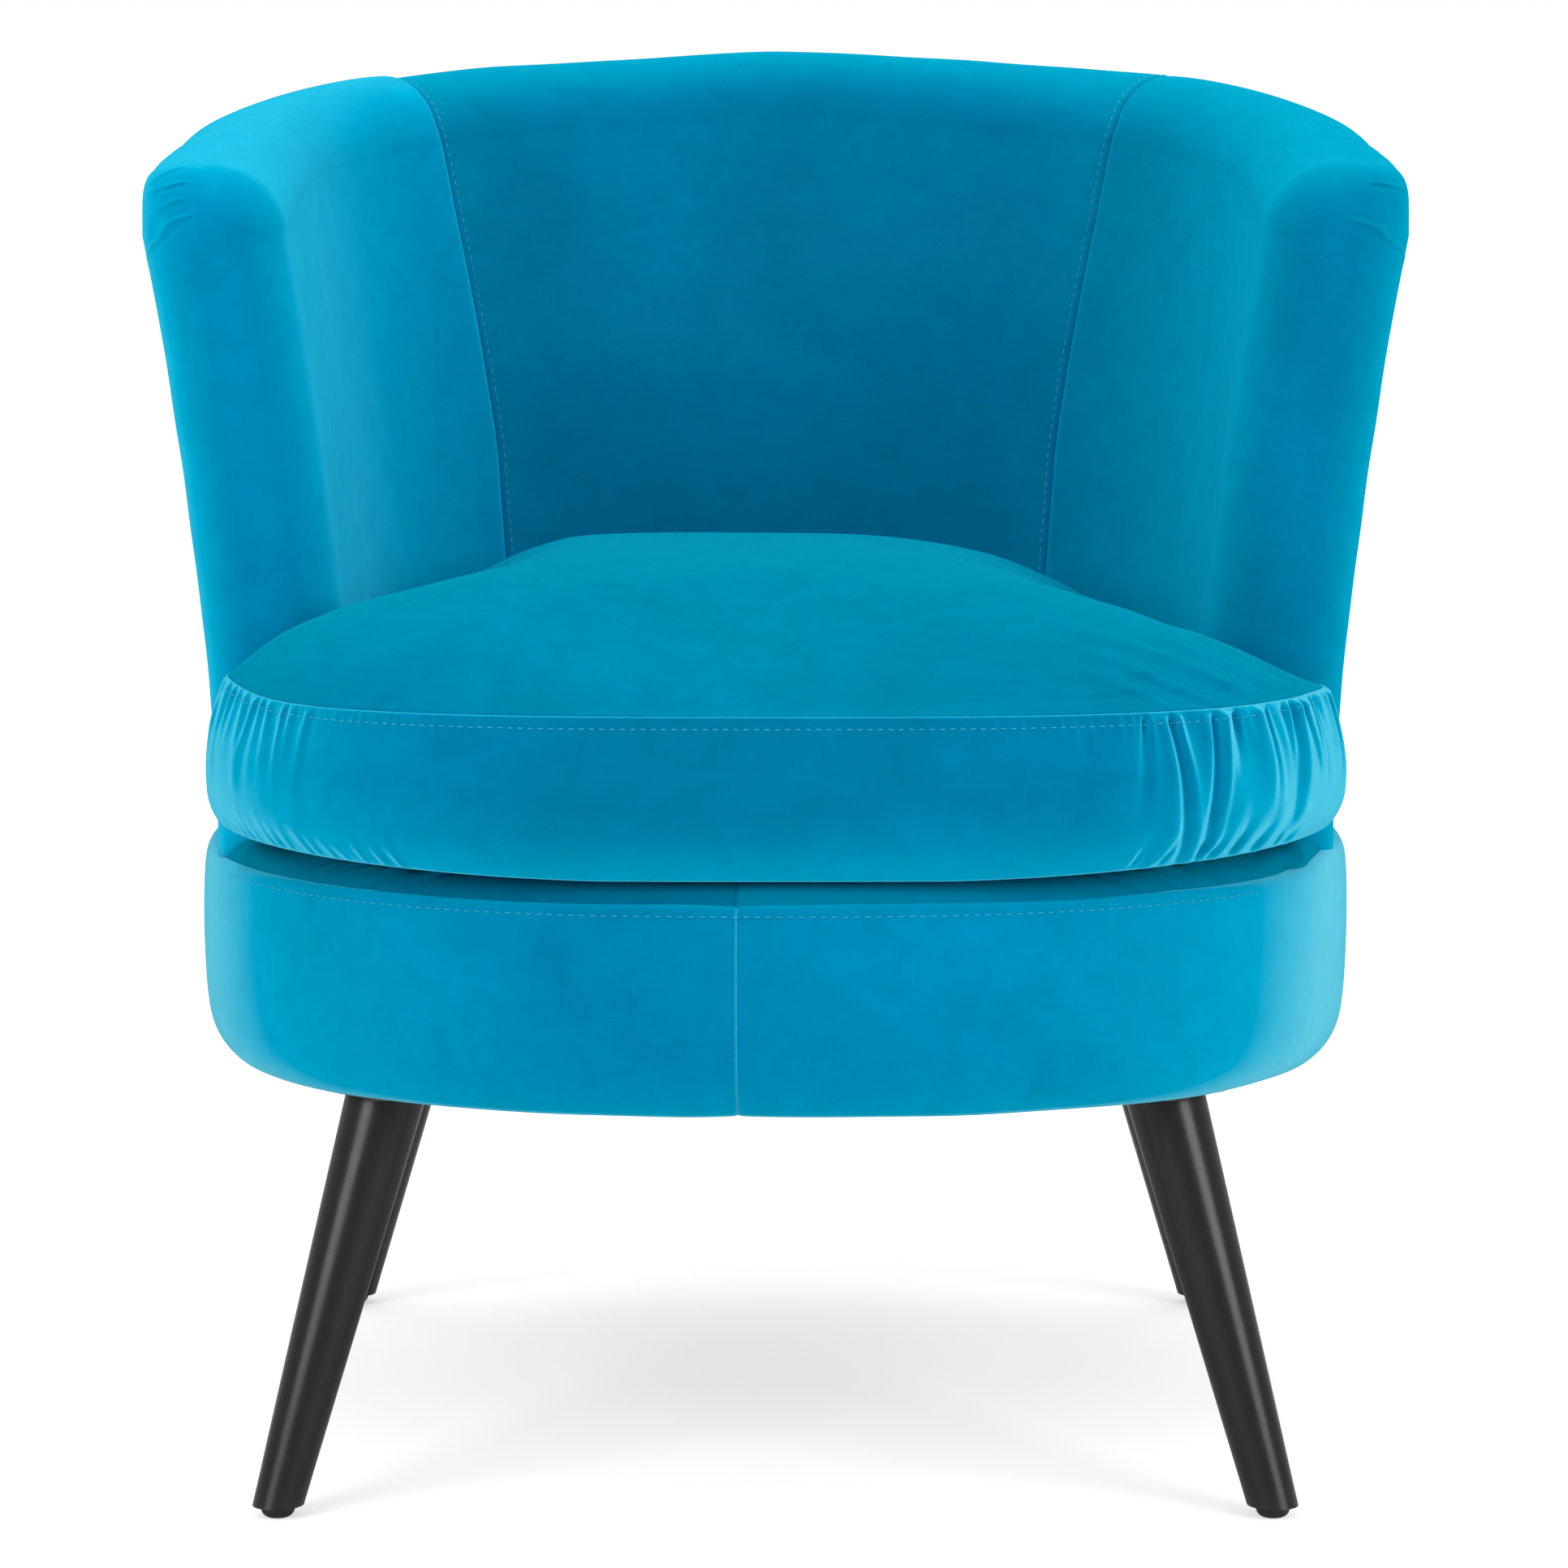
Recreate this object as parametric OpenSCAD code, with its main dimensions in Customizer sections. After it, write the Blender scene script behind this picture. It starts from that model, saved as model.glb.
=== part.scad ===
// Tub armchair with a rounded drum base, four splayed turned legs, an upholstered
// shell with three inner panels and rolled wings, and a loose boxed seat cushion.
// The chair faces -Y and stands on Z = 0, centred on the origin.

/* [Legs] */
// Distance of each leg's top centre inside the base's rounded corner
leg_corner_in = 48.8; // [48:0.1:70]
// Outward splay of a leg from its top to its foot, along X and Y
leg_splay = 55; // [30:1:70]
// Diameter of a leg where it meets its plate
leg_top_d = 42; // [34:0.5:44]
// Diameter of a leg at the floor end
leg_foot_d = 26; // [22:0.5:30]
// Height of the leg plate's underside above the floor
leg_top_z = 216; // [180:1:260]
// Diameter of a floor glide
glide_d = 18; // [14:0.5:20]
// Height of a floor glide's dome
glide_h = 6; // [4:0.5:9]
// Side of the square leg plate
plate_w = 50; // [46:1:52]
// Thickness of the leg plate
plate_t = 2.5; // [2:0.1:3.5]
// Diameter of the hanger bolt
bolt_d = 8; // [6:0.5:10]
// Depth of the hanger bolt in the leg
bolt_depth = 30; // [20:1:32]

/* [Base] */
// Half width of the base at the border's fullest line
base_half = 316; // [305:1:330]
// Squareness of the base's rounded plan
base_power = 2.5; // [2.2:0.05:3]
// Height of the border from the board's underside to the seam
border_h = 104; // [95:1:130]
// Thickness of the bottom board
board_t = 15; // [12:1:18]
// Thickness of the top ring
ring_t = 15; // [12:1:18]
// Width of the top ring, from its edge to the opening that the springs cross
ring_w = 87; // [77:1:112]
// Thickness of the bent side panel
side_panel_t = 3; // [2:0.5:4]
// Thickness of the fabric
cloth_t = 1.8; // [1.4:0.1:2.2]
// Wire diameter of the seat springs
wire_d = 3.8; // [3:0.1:4.5]
// Distance between neighbouring bends of a spring
spring_pitch = 24; // [20:1:30]
// Number of seat springs
spring_count = 4; // [3:1:5]
// Thickness of the deck's foam
deck_foam_t = 9.5; // [6:0.5:14]

/* [Shell] */
// Distance of the shell's foot inside the border's fullest line, at the sides
shell_set_in = 14; // [10:1:20]
// Outward flare of the shell from foot to rim
shell_flare = 38; // [20:1:50]
// Distance of the shell's foot inside the border's fullest line, at the back
back_set_in = 16; // [12:1:24]
// Outward flare of the shell's back from foot to rim
back_flare = 22; // [10:1:40]
// Thickness of a padded wing at its foot
wing_wall = 76; // [72:1:84]
// Widening of that space from foot to rim
wing_gap_flare = 38; // [20:1:44]
// Thickness of the padded back at its foot
back_wall = 99; // [96:1:101]
// Lean of the inner back from foot to rim
inner_lean = 44; // [30:1:50]
// Reach of the wing fronts ahead of the middle, at their foot
wing_reach = 150; // [146:1:151]
// Rake of the wing fronts from foot to rim
wing_rake = 25; // [0:1:35]
// Height of the shell's top line at the back
top_z = 761; // [700:1:820]
// Fall of the top line from the back to the wing fronts
top_fall = 62; // [0:1:75]
// How late the top falls: 1 is evenly, 2 is mostly at the wings
top_fall_power = 1.5; // [1:0.1:2.5]
// Rounding of the padded rim
rim_r = 37; // [28:1:42]
// Angle of the two inner seams from the back's middle
seam_angle = 42; // [36:1:60]
// Thickness of the timber frame in the shell
frame_t = 20; // [16:1:21]
// Thickness of the card panels on both sides of the frame
card_t = 2.2; // [1.6:0.1:2.6]
// Thickness of the wadding outside the frame
wadding_t = 6; // [4:0.5:8]

/* [Cushion] */
// Distance of the cushion's sides inside the border's fullest line, at its front
cushion_set_in = 4; // [-2:1:16]
// Reach of the cushion's front ahead of the border
cushion_overhang = 1; // [-11:1:4]
// Squareness of the cushion's front
cushion_power = 3.2; // [2.4:0.1:4]
// Gap between the cushion and the wings and back
cushion_gap = 3; // [2.5:0.5:5]
// Height of the cushion's boxing
boxing_h = 84; // [60:1:100]
// Rise of the cushion's crown above its top seam
crown = 70; // [30:1:80]
// Swell of the boxing at its middle
boxing_swell = 7; // [0:0.5:10]
// Radius of the cushion's rear edge, where the zip lies
zip_radius = 420; // [400:5:460]
// Half angle of the zip
zip_half_angle = 17; // [12:1:18]

/* [Hidden] */

// Running gap between pieces that lie on each other
gap = 0.3;
// Radial gap of screws, bolts and nails in their bores
bore_gap = 0.1;
// Squareness of the shell's plan
shell_power = 2.6;
// Reach of the curve that the wings' straight sides follow
wing_curve = 520;

// Places that follow the base's half width
leg_top_offset = (reach(45, base_half, base_half, base_power) - leg_corner_in) / sqrt(2);
foot_offset = leg_top_offset + leg_splay;
shell_foot = base_half - shell_set_in;
back_foot = base_half - back_set_in;
wing_gap = shell_foot - wing_wall;
inner_back = back_foot - back_wall;
cushion_half = base_half - cushion_set_in;
cushion_front = base_half + cushion_overhang;

// Heights, from the legs up
dust_z = leg_top_z + plate_t + gap;
dust_t = 0.8;
flange_z = dust_z + dust_t + gap;
board_z = flange_z + cloth_t + gap;
seam_z = board_z + border_h;
ring_z = seam_z - 3 - ring_t;
ring_top = ring_z + ring_t;
spring_z = ring_top + gap + wire_d / 2;
clip_t = 0.8;
felt_z = spring_z + wire_d / 2 + bore_gap + clip_t + gap;
felt_t = 2;
foam_z = felt_z + felt_t + gap;
deck_z = foam_z + deck_foam_t + gap;
deck_top = deck_z + cloth_t;
shell_z = seam_z + 4;
cushion_z = deck_top + gap;
cushion_seam_z = cushion_z + boxing_h;

// Half widths of the base's layers
board_half = base_half - 24;
panel_inner = board_half + gap;
panel_outer = panel_inner + side_panel_t;
deck_half = base_half - 7;
spring_opening = board_half - ring_w;

// Depths of the shell's layers, measured inwards from its outer face
pad_in = cloth_t + gap;
card_in = pad_in + wadding_t;
frame_in = card_in + card_t + gap;
frame_out = frame_in + frame_t;
lining_in = frame_out + gap;
lining_out = lining_in + card_t;

TEAL = [0.05, 0.5, 0.62];
DARK_TEAL = [0.04, 0.4, 0.52];
BLACK = [0.1, 0.1, 0.11];
STEEL = [0.62, 0.63, 0.65];
PINE = [0.82, 0.68, 0.46];
BIRCH = [0.86, 0.76, 0.58];
FOAM = [0.95, 0.9, 0.72];
WADDING = [0.93, 0.93, 0.9];

FOUR_CORNERS = [[-1, -1], [1, -1], [-1, 1], [1, 1]];

function flatten(lists) = [for (l = lists) each l];
function lerp(a, b, t) = a + (b - a) * t;
function reversed(list) = [for (i = [len(list) - 1 : -1 : 0]) list[i]];

// Distance from the middle to a rounded plan with half sizes a and b, at an angle from +Y
function reach(angle, a, b, n) =
    pow(pow(abs(sin(angle)) / a, n) + pow(abs(cos(angle)) / b, n), -1 / n);

// Closed rounded plan, counterclockwise from the front
plan_points = 56;
function rounded_plan(half, n) =
    [for (i = [0 : plan_points - 1]) let (a = 180 - 360 * i / plan_points, r = reach(a, half, half, n))
        [r * sin(a), r * cos(a)]];

// Lays a plan at a height
function at_height(plan, z) = [for (p = plan) [p[0], p[1], z]];

// Faces that close a ring by joining its first half to its second one, point by point
function strip_cap(m, first, flip) = flatten([for (i = [0 : floor(m / 2) - 1]) let (
        a = first + i, b = first + i + 1, c = first + m - 2 - i, d = first + m - 1 - i,
        front = b == c ? [[a, b, d]] : b > c ? [] : [[a, b, c], [a, c, d]] )
    [for (f = front) flip ? reversed(f) : f]]);

// Solid through stacked rings of equal length, closed by its two end rings
module ring_stack(rings, strips = false) {
    m = len(rings[0]);
    n = len(rings);
    sides = flatten([for (k = [0 : n - 2]) flatten([for (i = [0 : m - 1]) let (j = (i + 1) % m)
        [[k * m + i, (k + 1) * m + i, (k + 1) * m + j], [k * m + i, (k + 1) * m + j, k * m + j]]])]);
    polyhedron(flatten(rings), strips
        ? concat(strip_cap(m, 0, false), sides, strip_cap(m, (n - 1) * m, true))
        : concat([[for (i = [0 : m - 1]) i]], sides, [[for (i = [m - 1 : -1 : 0]) (n - 1) * m + i]]));
}

// Closed tube-like wall through rings that lead back to the first one
module ring_wall(rings) {
    m = len(rings[0]);
    n = len(rings);
    faces = flatten([for (k = [0 : n - 1]) let (u = (k + 1) % n)
        flatten([for (i = [0 : m - 1]) let (j = (i + 1) % m)
            [[k * m + i, u * m + i, u * m + j], [k * m + i, u * m + j, k * m + j]]])]);
    polyhedron(flatten(rings), faces);
}

// Wall around the base from a closed profile of [half width, height] points
module base_wall(profile) {
    ring_wall([for (p = reversed(profile)) at_height(rounded_plan(p[0], base_power), p[1])]);
}

module base_slab(half, z, thickness) {
    translate([0, 0, z]) linear_extrude(thickness) polygon(rounded_plan(half, base_power));
}

// Puts its children upright at the four leg tops, turned to face outwards
module at_leg_tops() {
    for (s = FOUR_CORNERS)
        translate([s[0] * leg_top_offset, s[1] * leg_top_offset, 0]) rotate([0, 0, 45]) children();
}

// Places of a plate's screws round a leg's top centre
plate_screw_reach = plate_w / 2 - 7.5;
plate_screw_d = 3.5;
plate_screw_l = 12;
module at_plate_screws() {
    at_leg_tops() for (s = FOUR_CORNERS)
        translate([s[0] * plate_screw_reach, s[1] * plate_screw_reach, 0]) children();
}

// Legs and what fastens them

glide_shank_d = 2.4;
glide_shank_l = 14;

// Tapered leg, tilted outwards and cut level at both ends, bored for its bolt and its glide
module leg(side_x, side_y) {
    spread = (foot_offset - leg_top_offset) * sqrt(2);
    rise = leg_top_z - glide_h;
    tilt = atan2(spread, rise);
    length = rise / cos(tilt);
    spare = 20;
    taper = (leg_top_d - leg_foot_d) / length;
    difference() {
        intersection() {
            translate([side_x * foot_offset, side_y * foot_offset, glide_h])
                rotate([0, 0, atan2(-side_y, -side_x)]) rotate([0, tilt, 0])
                translate([0, 0, -spare])
                cylinder(h = length + 2 * spare, d1 = leg_foot_d - spare * taper,
                    d2 = leg_top_d + spare * taper, $fn = 64);
            translate([0, 0, glide_h + gap])
                linear_extrude(rise - 2 * gap) square(4 * foot_offset, center = true);
        }
        translate([side_x * leg_top_offset, side_y * leg_top_offset, leg_top_z - bolt_depth - 1])
            cylinder(h = bolt_depth + 5, d = bolt_d + 2 * bore_gap, $fn = 32);
        translate([side_x * foot_offset, side_y * foot_offset, 0])
            cylinder(h = glide_h + glide_shank_l + 1, d = glide_shank_d + 2 * bore_gap, $fn = 24);
    }
}

module leg_front_left() { color(BLACK) leg(-1, -1); }
module leg_front_right() { color(BLACK) leg(1, -1); }
module leg_rear_left() { color(BLACK) leg(-1, 1); }
module leg_rear_right() { color(BLACK) leg(1, 1); }

// Nail-on glide with a domed foot and a small flat on the floor
module floor_glides() {
    flat_r = glide_d / 4;
    dome = [for (a = [0 : 15 : 90]) [lerp(flat_r, glide_d / 2, sin(a)), (glide_h - 1) * (1 - cos(a))]];
    color(BLACK) for (s = FOUR_CORNERS)
        translate([s[0] * foot_offset, s[1] * foot_offset, 0])
        rotate_extrude($fn = 48) polygon(concat([[0, 0]], dome,
            [[glide_d / 2, glide_h], [glide_shank_d / 2, glide_h],
             [glide_shank_d / 2, glide_h + glide_shank_l - 2], [0, glide_h + glide_shank_l]]));
}

// Steel plates between the legs and the base, with countersunk screw holes
module leg_plates() {
    corner_r = 6;
    color(BLACK) difference() {
        at_leg_tops() translate([0, 0, leg_top_z]) linear_extrude(plate_t) difference() {
            union() {
                square([plate_w, plate_w - 2 * corner_r], center = true);
                square([plate_w - 2 * corner_r, plate_w], center = true);
                for (s = FOUR_CORNERS) translate(s * (plate_w / 2 - corner_r))
                    circle(r = corner_r, $fn = 32);
            }
            circle(d = bolt_d + 2 * bore_gap, $fn = 32);
        }
        at_plate_screws() translate([0, 0, leg_top_z - 1])
            cylinder(h = plate_t + 2, d = plate_screw_d + 4 * bore_gap, $fn = 24);
        at_plate_screws() translate([0, 0, leg_top_z - gap])
            cylinder(h = 2 * gap + 1.7, d1 = plate_screw_d + 4.8, d2 = plate_screw_d + 0.4, $fn = 24);
    }
}

// Threaded bolts from the legs into the board's nuts
bolt_top = board_z + board_t - 1;
module hanger_bolts() {
    color(STEEL) at_leg_tops() translate([0, 0, leg_top_z - bolt_depth])
        rotate_extrude($fn = 32) polygon([[0, 0], [bolt_d / 2 - 2, 0], [bolt_d / 2, 4],
            [bolt_d / 2, bolt_top - leg_top_z + bolt_depth - 1],
            [bolt_d / 2 - 1, bolt_top - leg_top_z + bolt_depth], [0, bolt_top - leg_top_z + bolt_depth]]);
}

nut_wall = 1.2;
nut_flange_d = bolt_d + 12;
nut_flange_t = 1.5;
nut_barrel_l = 10;
module tee_nuts() {
    color(STEEL) at_leg_tops() translate([0, 0, board_z + board_t - nut_barrel_l])
        rotate_extrude($fn = 32) polygon([[bolt_d / 2 + bore_gap, 0], [bolt_d / 2 + nut_wall, 0],
            [bolt_d / 2 + nut_wall, nut_barrel_l + gap], [nut_flange_d / 2, nut_barrel_l + gap],
            [nut_flange_d / 2, nut_barrel_l + gap + nut_flange_t],
            [bolt_d / 2 + bore_gap, nut_barrel_l + gap + nut_flange_t]]);
}

module plate_screws() {
    head_r = plate_screw_d / 2 + 1.8;
    color(STEEL) at_plate_screws() translate([0, 0, leg_top_z])
        rotate_extrude($fn = 24) polygon([[0, 0.1], [head_r, 0.1], [plate_screw_d / 2, 1.7],
            [plate_screw_d / 2, plate_screw_l - 3], [0, plate_screw_l]]);
}

// Base drum

module base_bottom_board() {
    color(BIRCH) difference() {
        base_slab(board_half, board_z, board_t);
        at_leg_tops() translate([0, 0, board_z - 1]) {
            cylinder(h = board_t + 2, d = bolt_d + 2 * (nut_wall + bore_gap), $fn = 32);
        }
        at_plate_screws() translate([0, 0, board_z - 1])
            cylinder(h = leg_top_z + plate_screw_l - board_z + 2, d = plate_screw_d + 2 * bore_gap, $fn = 24);
    }
}

// Upright blocks that carry the top ring, at equal angles round the board
block_w = 45;
block_l = 60;
module base_blocks() {
    color(PINE) for (a = [0 : 45 : 315])
        rotate([0, 0, a + 22.5])
        translate([reach(67.5, board_half, board_half, base_power) - block_w - 6, -block_l / 2,
            board_z + board_t + gap])
        cube([block_w, block_l, ring_z - board_z - board_t - 2 * gap]);
}

module base_top_ring() {
    corner_r = 60;
    color(BIRCH) difference() {
        base_slab(board_half, ring_z, ring_t);
        translate([0, 0, ring_z - 1]) linear_extrude(ring_t + 2) union() {
            square([2 * spring_opening, 2 * (spring_opening - corner_r)], center = true);
            square([2 * (spring_opening - corner_r), 2 * spring_opening], center = true);
            for (s = FOUR_CORNERS) translate(s * (spring_opening - corner_r))
                circle(r = corner_r, $fn = 48);
        }
        at_back_bolts()
            cylinder(h = 2 * (ring_t + rail_h), d = back_bolt_d + 2 * bore_gap, center = true, $fn = 24);
    }
}

module base_side_panel() {
    color([0.6, 0.5, 0.38]) difference() {
        base_slab(panel_outer, board_z, ring_top - board_z);
        translate([0, 0, -1]) base_slab(panel_inner, board_z, ring_top - board_z + 2);
    }
}

// Profile of the border's outer face, from the tucked lip at the top to the flange below
function border_profile(inset) = [
    [base_half - 18, seam_z + 2.6 - inset],
    [base_half - 10 - inset / 2, seam_z + 1.6 - inset],
    [base_half - 5 - inset, seam_z - 3 - inset / 2],
    [base_half - 1.2 - inset, seam_z - 16],
    [base_half - inset, seam_z - 38],
    [base_half - 0.6 - inset, board_z + 46],
    [base_half - 1.8 - inset, board_z + 27],
    [base_half - 4.2 - inset, board_z + 12],
    [base_half - 8.5 - inset * 0.8, board_z + 3.2 + inset * 0.5],
    [base_half - 13.5, flange_z + inset]];

module base_border_cover() {
    lip = 3;
    flange = 12;
    outer = border_profile(0);
    inner = border_profile(cloth_t);
    last = len(outer) - 1;
    color(TEAL) base_wall(concat([[outer[0][0] - lip, outer[0][1]]], outer,
        [[outer[last][0] - flange, outer[last][1]], [inner[last][0] - flange, inner[last][1]]],
        reversed(inner), [[inner[0][0] - lip, inner[0][1]]]));
}

module base_padding() {
    wad = border_profile(pad_in);
    color(WADDING) base_wall([[panel_outer + gap, ring_top - 2], [wad[2][0] - 1, ring_top - 2], wad[3],
        wad[4], wad[5], wad[6], wad[7], [panel_outer + gap, board_z + 6]]);
}

module dust_cover() {
    color([0.15, 0.15, 0.16]) difference() {
        base_slab(board_half + 2, dust_z, dust_t);
        at_leg_tops() translate([0, 0, dust_z - 1])
            cylinder(h = dust_t + 2, d = bolt_d + 4, $fn = 24);
        at_plate_screws() translate([0, 0, dust_z - 1])
            cylinder(h = dust_t + 2, d = plate_screw_d + 1, $fn = 24);
    }
}

// Seat suspension

spring_bends = 2 * floor((spring_opening + 8) / spring_pitch);
spring_run = spring_bends * spring_pitch / 2;
spring_straight = 30;
spring_step = 2 * (spring_opening - 40) / spring_count;

// One zigzag spring along Y: straight bars joined by half-round bends
module zigzag_spring() {
    bend_r = spring_pitch / 2;
    union() {
        for (k = [0 : spring_bends]) translate([0, -spring_run + k * spring_pitch, 0])
            rotate([0, 90, 0]) cylinder(h = spring_straight, d = wire_d, center = true, $fn = 16);
        for (k = [0 : spring_bends - 1]) let (s = k % 2 == 0 ? 1 : -1)
            translate([s * spring_straight / 2, -spring_run + (k + 0.5) * spring_pitch, 0])
            rotate([0, 0, s > 0 ? -90 : 90])
            rotate_extrude(angle = 180, $fn = 32) translate([bend_r, 0]) circle(d = wire_d, $fn = 16);
    }
}

module at_springs() {
    for (k = [0 : spring_count - 1])
        translate([(k - (spring_count - 1) / 2) * spring_step, 0, spring_z]) children();
}

module seat_springs() { color(STEEL) at_springs() zigzag_spring(); }

// Clips that hold each spring's end bar on the ring
clip_w = 18;
module spring_clips() {
    inner_r = wire_d / 2 + bore_gap;
    color([0.75, 0.75, 0.72]) at_springs() for (s = [-1, 1])
        translate([0, s * spring_run, 0]) rotate([0, 0, s > 0 ? 0 : 180]) difference() {
            union() {
                rotate([0, 90, 0]) cylinder(h = clip_w, r = inner_r + clip_t, center = true, $fn = 32);
                translate([-clip_w / 2, 0, -wire_d / 2])
                    cube([clip_w, inner_r + 12, clip_t]);
            }
            rotate([0, 90, 0]) cylinder(h = clip_w + 2, r = inner_r, center = true, $fn = 32);
            translate([-clip_w, -wire_d, -wire_d - wire_d / 2]) cube([2 * clip_w, 3 * wire_d, wire_d]);
            translate([-clip_w, -wire_d * 1.5, -wire_d / 2 - 0.5])
                cube([2 * clip_w, wire_d * 1.5, wire_d / 2]);
        }
}

// T-shaped seat plan: a rounded front with two ears, and a body between the wings.
// Each corner's arc shrinks or grows with the inset, so that insets stay parallel.
ear_r = 22;
notch_r = 30;
function half_seat_plan(a, b, n, body, ears, rear, rear_r, inset) = let (
        aa = a - inset,
        bb = b - inset,
        ear_y = ears + inset,
        r = max(4, ear_r - inset),
        side = body - inset,
        back = rear - inset,
        rr = rear_r - inset,
        tip = ear_y + r,
        tip_x = aa * pow(1 - pow(tip / bb, n), 1 / n),
        turn = notch_r + inset,
        join = 18 )
    concat(
        [for (k = [0 : 9]) let (a = 90 * pow(k / 9, 0.9), full = acos(pow(tip / bb, n / 2)),
            u = a * full / 90) [aa * pow(sin(u), 2 / n), -bb * pow(cos(u), 2 / n)]],
        [for (u = [30 : 30 : 90]) [tip_x - r + r * cos(u), -tip + r * sin(u)]],
        [for (u = [0 : 30 : 90]) [side + turn - turn * sin(u), -ear_y + turn - turn * cos(u)]],
        [for (y = [-ear_y / 3, ear_y / 3]) [side, y]],
        [for (u = [25 : 13 : 51]) [side * pow(cos(u), 2 / shell_power), back * pow(sin(u), 2 / shell_power)]],
        [for (u = [join : -6 : 0]) [rr * sin(u), back - rr + rr * cos(u)]]);

function seat_plan(a, b, n, body, ears, rear, rear_r, inset) = let (
        h = half_seat_plan(a, b, n, body, ears, rear, rear_r, inset) )
    concat(h, [for (i = [len(h) - 2 : -1 : 1]) [-h[i][0], h[i][1]]]);

deck_body = wing_gap - gap - 1;
deck_rear = inner_back - 2;
function deck_plan(inset) = seat_plan(deck_half, deck_half, base_power, deck_body,
    wing_reach + 3, deck_rear, zip_radius, inset);

module spring_felt() {
    color([0.55, 0.55, 0.52]) translate([0, 0, felt_z]) linear_extrude(felt_t) polygon(deck_plan(20));
}

module deck_foam() {
    t = deck_foam_t;
    color(FOAM) ring_stack([at_height(deck_plan(3.4), foam_z), at_height(deck_plan(5), foam_z + t * 0.35),
        at_height(deck_plan(10.5), foam_z + t * 0.8), at_height(deck_plan(23), foam_z + t)]);
}

deck_edge = 22;
module deck_cloth() {
    color(TEAL) translate([0, 0, deck_z]) linear_extrude(cloth_t) polygon(deck_plan(deck_edge + 3));
}

// Curved strips of cloth over the deck's front edge, left and right of their joining seam
facing_seam_x = -20;
module deck_facing(from, to) {
    steps = 14;
    foot = seam_z + 2.9;
    rise = deck_top - foot;
    profile = [[0.4, 0], [2, rise * 0.4], [7, rise * 0.82], [deck_edge, rise],
        [deck_edge, rise - cloth_t], [8.2, rise * 0.82 - cloth_t], [3.3, rise * 0.4 - 0.4], [1.9, 0]];
    rings = [for (k = [0 : steps]) let (a = lerp(from, to, k / steps))
        [for (p = profile) let (r = reach(a, deck_half - p[0], deck_half - p[0], base_power))
            [r * sin(a), r * cos(a), foot + p[1]]]];
    color(DARK_TEAL) ring_stack(reversed(rings));
}
facing_seam_angle = 180 + atan2(-facing_seam_x, deck_half);
facing_end = atan2(pow(1 - pow((wing_reach + 34) / deck_half, base_power), 1 / base_power) * deck_half,
    -wing_reach - 34);
module deck_facing_left() { deck_facing(360 - facing_end, facing_seam_angle + 0.04); }
module deck_facing_right() { deck_facing(facing_seam_angle - 0.04, facing_end); }

// Shell. A column is a place along the U from one wing front to the other, and a row is
// a place round the section, from the outer foot over the rim to the inner foot.

back_steps = 15;
wing_steps = 3;
roll_angles = [25, 50, 72];
outer_rows = 6;
rim_rows = 8;
inner_rows = 6;
rows = outer_rows + rim_rows + inner_rows;
half_columns = concat([for (i = [0 : back_steps]) [90 * i / back_steps, 0, 0]],
    [for (i = [1 : wing_steps]) [90, i / wing_steps, 0]],
    [for (a = roll_angles) [90, 1, a]]);
// Each column is [side, angle from the back, share of the wing's straight side, roll angle]
columns = concat([for (i = [len(half_columns) - 1 : -1 : 1]) concat([-1], half_columns[i])],
    [for (h = half_columns) concat([1], h)]);
last_column = len(columns) - 1;
middle_column = last_column / 2;
roll_columns = len(roll_angles);
seam_column = round(seam_angle / 90 * back_steps);

// Share of the way from the back's middle to the wing front
function along(col) = (col[1] / 90 * 0.8 + col[2] * 0.2);
function rim_base(col) = top_z - top_fall * pow(along(col), top_fall_power) - rim_r;

// Flattening of the roll's front
roll_flat = 3;

function outer_half(t) = shell_foot + shell_flare * pow(t, 1.6);
function outer_back(t) = back_foot + back_flare * pow(t, 1.6);
function inner_half(t) = wing_gap + wing_gap_flare * pow(t, 1.4);
function inner_depth(t) = inner_back + inner_lean * pow(t, 1.1);

// Place across the wall: mix 0 is the outer face and 1 the inner one, each with its inset.
// The roll carries the wall round the wing front, and rise is the share of the wing's height.
function wall_point(col, t, rise, mix, inset_out, inset_in, roll_inset, thin) = let (
        ao = outer_half(t) - inset_out,
        ai = inner_half(t) + inset_in )
    col[2] == 0 ? let (
        ro = reach(col[1], ao, outer_back(t) - inset_out, shell_power),
        ri = reach(col[1], ai, inner_depth(t) + inset_in, shell_power),
        r = lerp(ro, ri, mix) ) [col[0] * r * sin(col[1]), r * cos(col[1])]
    : let (
        straight = wing_reach - wing_rake * rise - rim_r + roll_flat,
        y = col[2] * straight,
        bow = pow(1 - pow(y / wing_curve, shell_power), 1 / shell_power),
        middle = (ao + ai) / 2,
        half = (ao - ai) / 2 * (1 - 2 * mix) * cos(col[3]),
        ahead = (rim_r - roll_flat - roll_inset) * sin(col[3]) * thin )
      [col[0] * (middle + half) * bow, -y - ahead];

// Point on the shell's surface at a row, moved inwards by an inset
function shell_point(col, row, inset, foot_out, foot_in) = let (
        top = rim_base(col),
        b = row <= outer_rows ? 0 : row >= outer_rows + rim_rows ? 180
            : 180 * (row - outer_rows) / rim_rows,
        z0 = row < outer_rows ? foot_out : foot_in,
        k = row < outer_rows ? row / outer_rows
            : row > outer_rows + rim_rows ? (rows - row) / inner_rows : 1,
        z = lerp(z0, top, k),
        t = max(0, (z - shell_z) / (top - shell_z)),
        height = z + (rim_r - inset) * sin(b),
        rise = (height - shell_z) / (top - shell_z),
        p = wall_point(col, t, rise, (1 - cos(b)) / 2, inset, inset, inset, max(abs(cos(b)), 0.18)) )
    [p[0], p[1], height];

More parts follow.
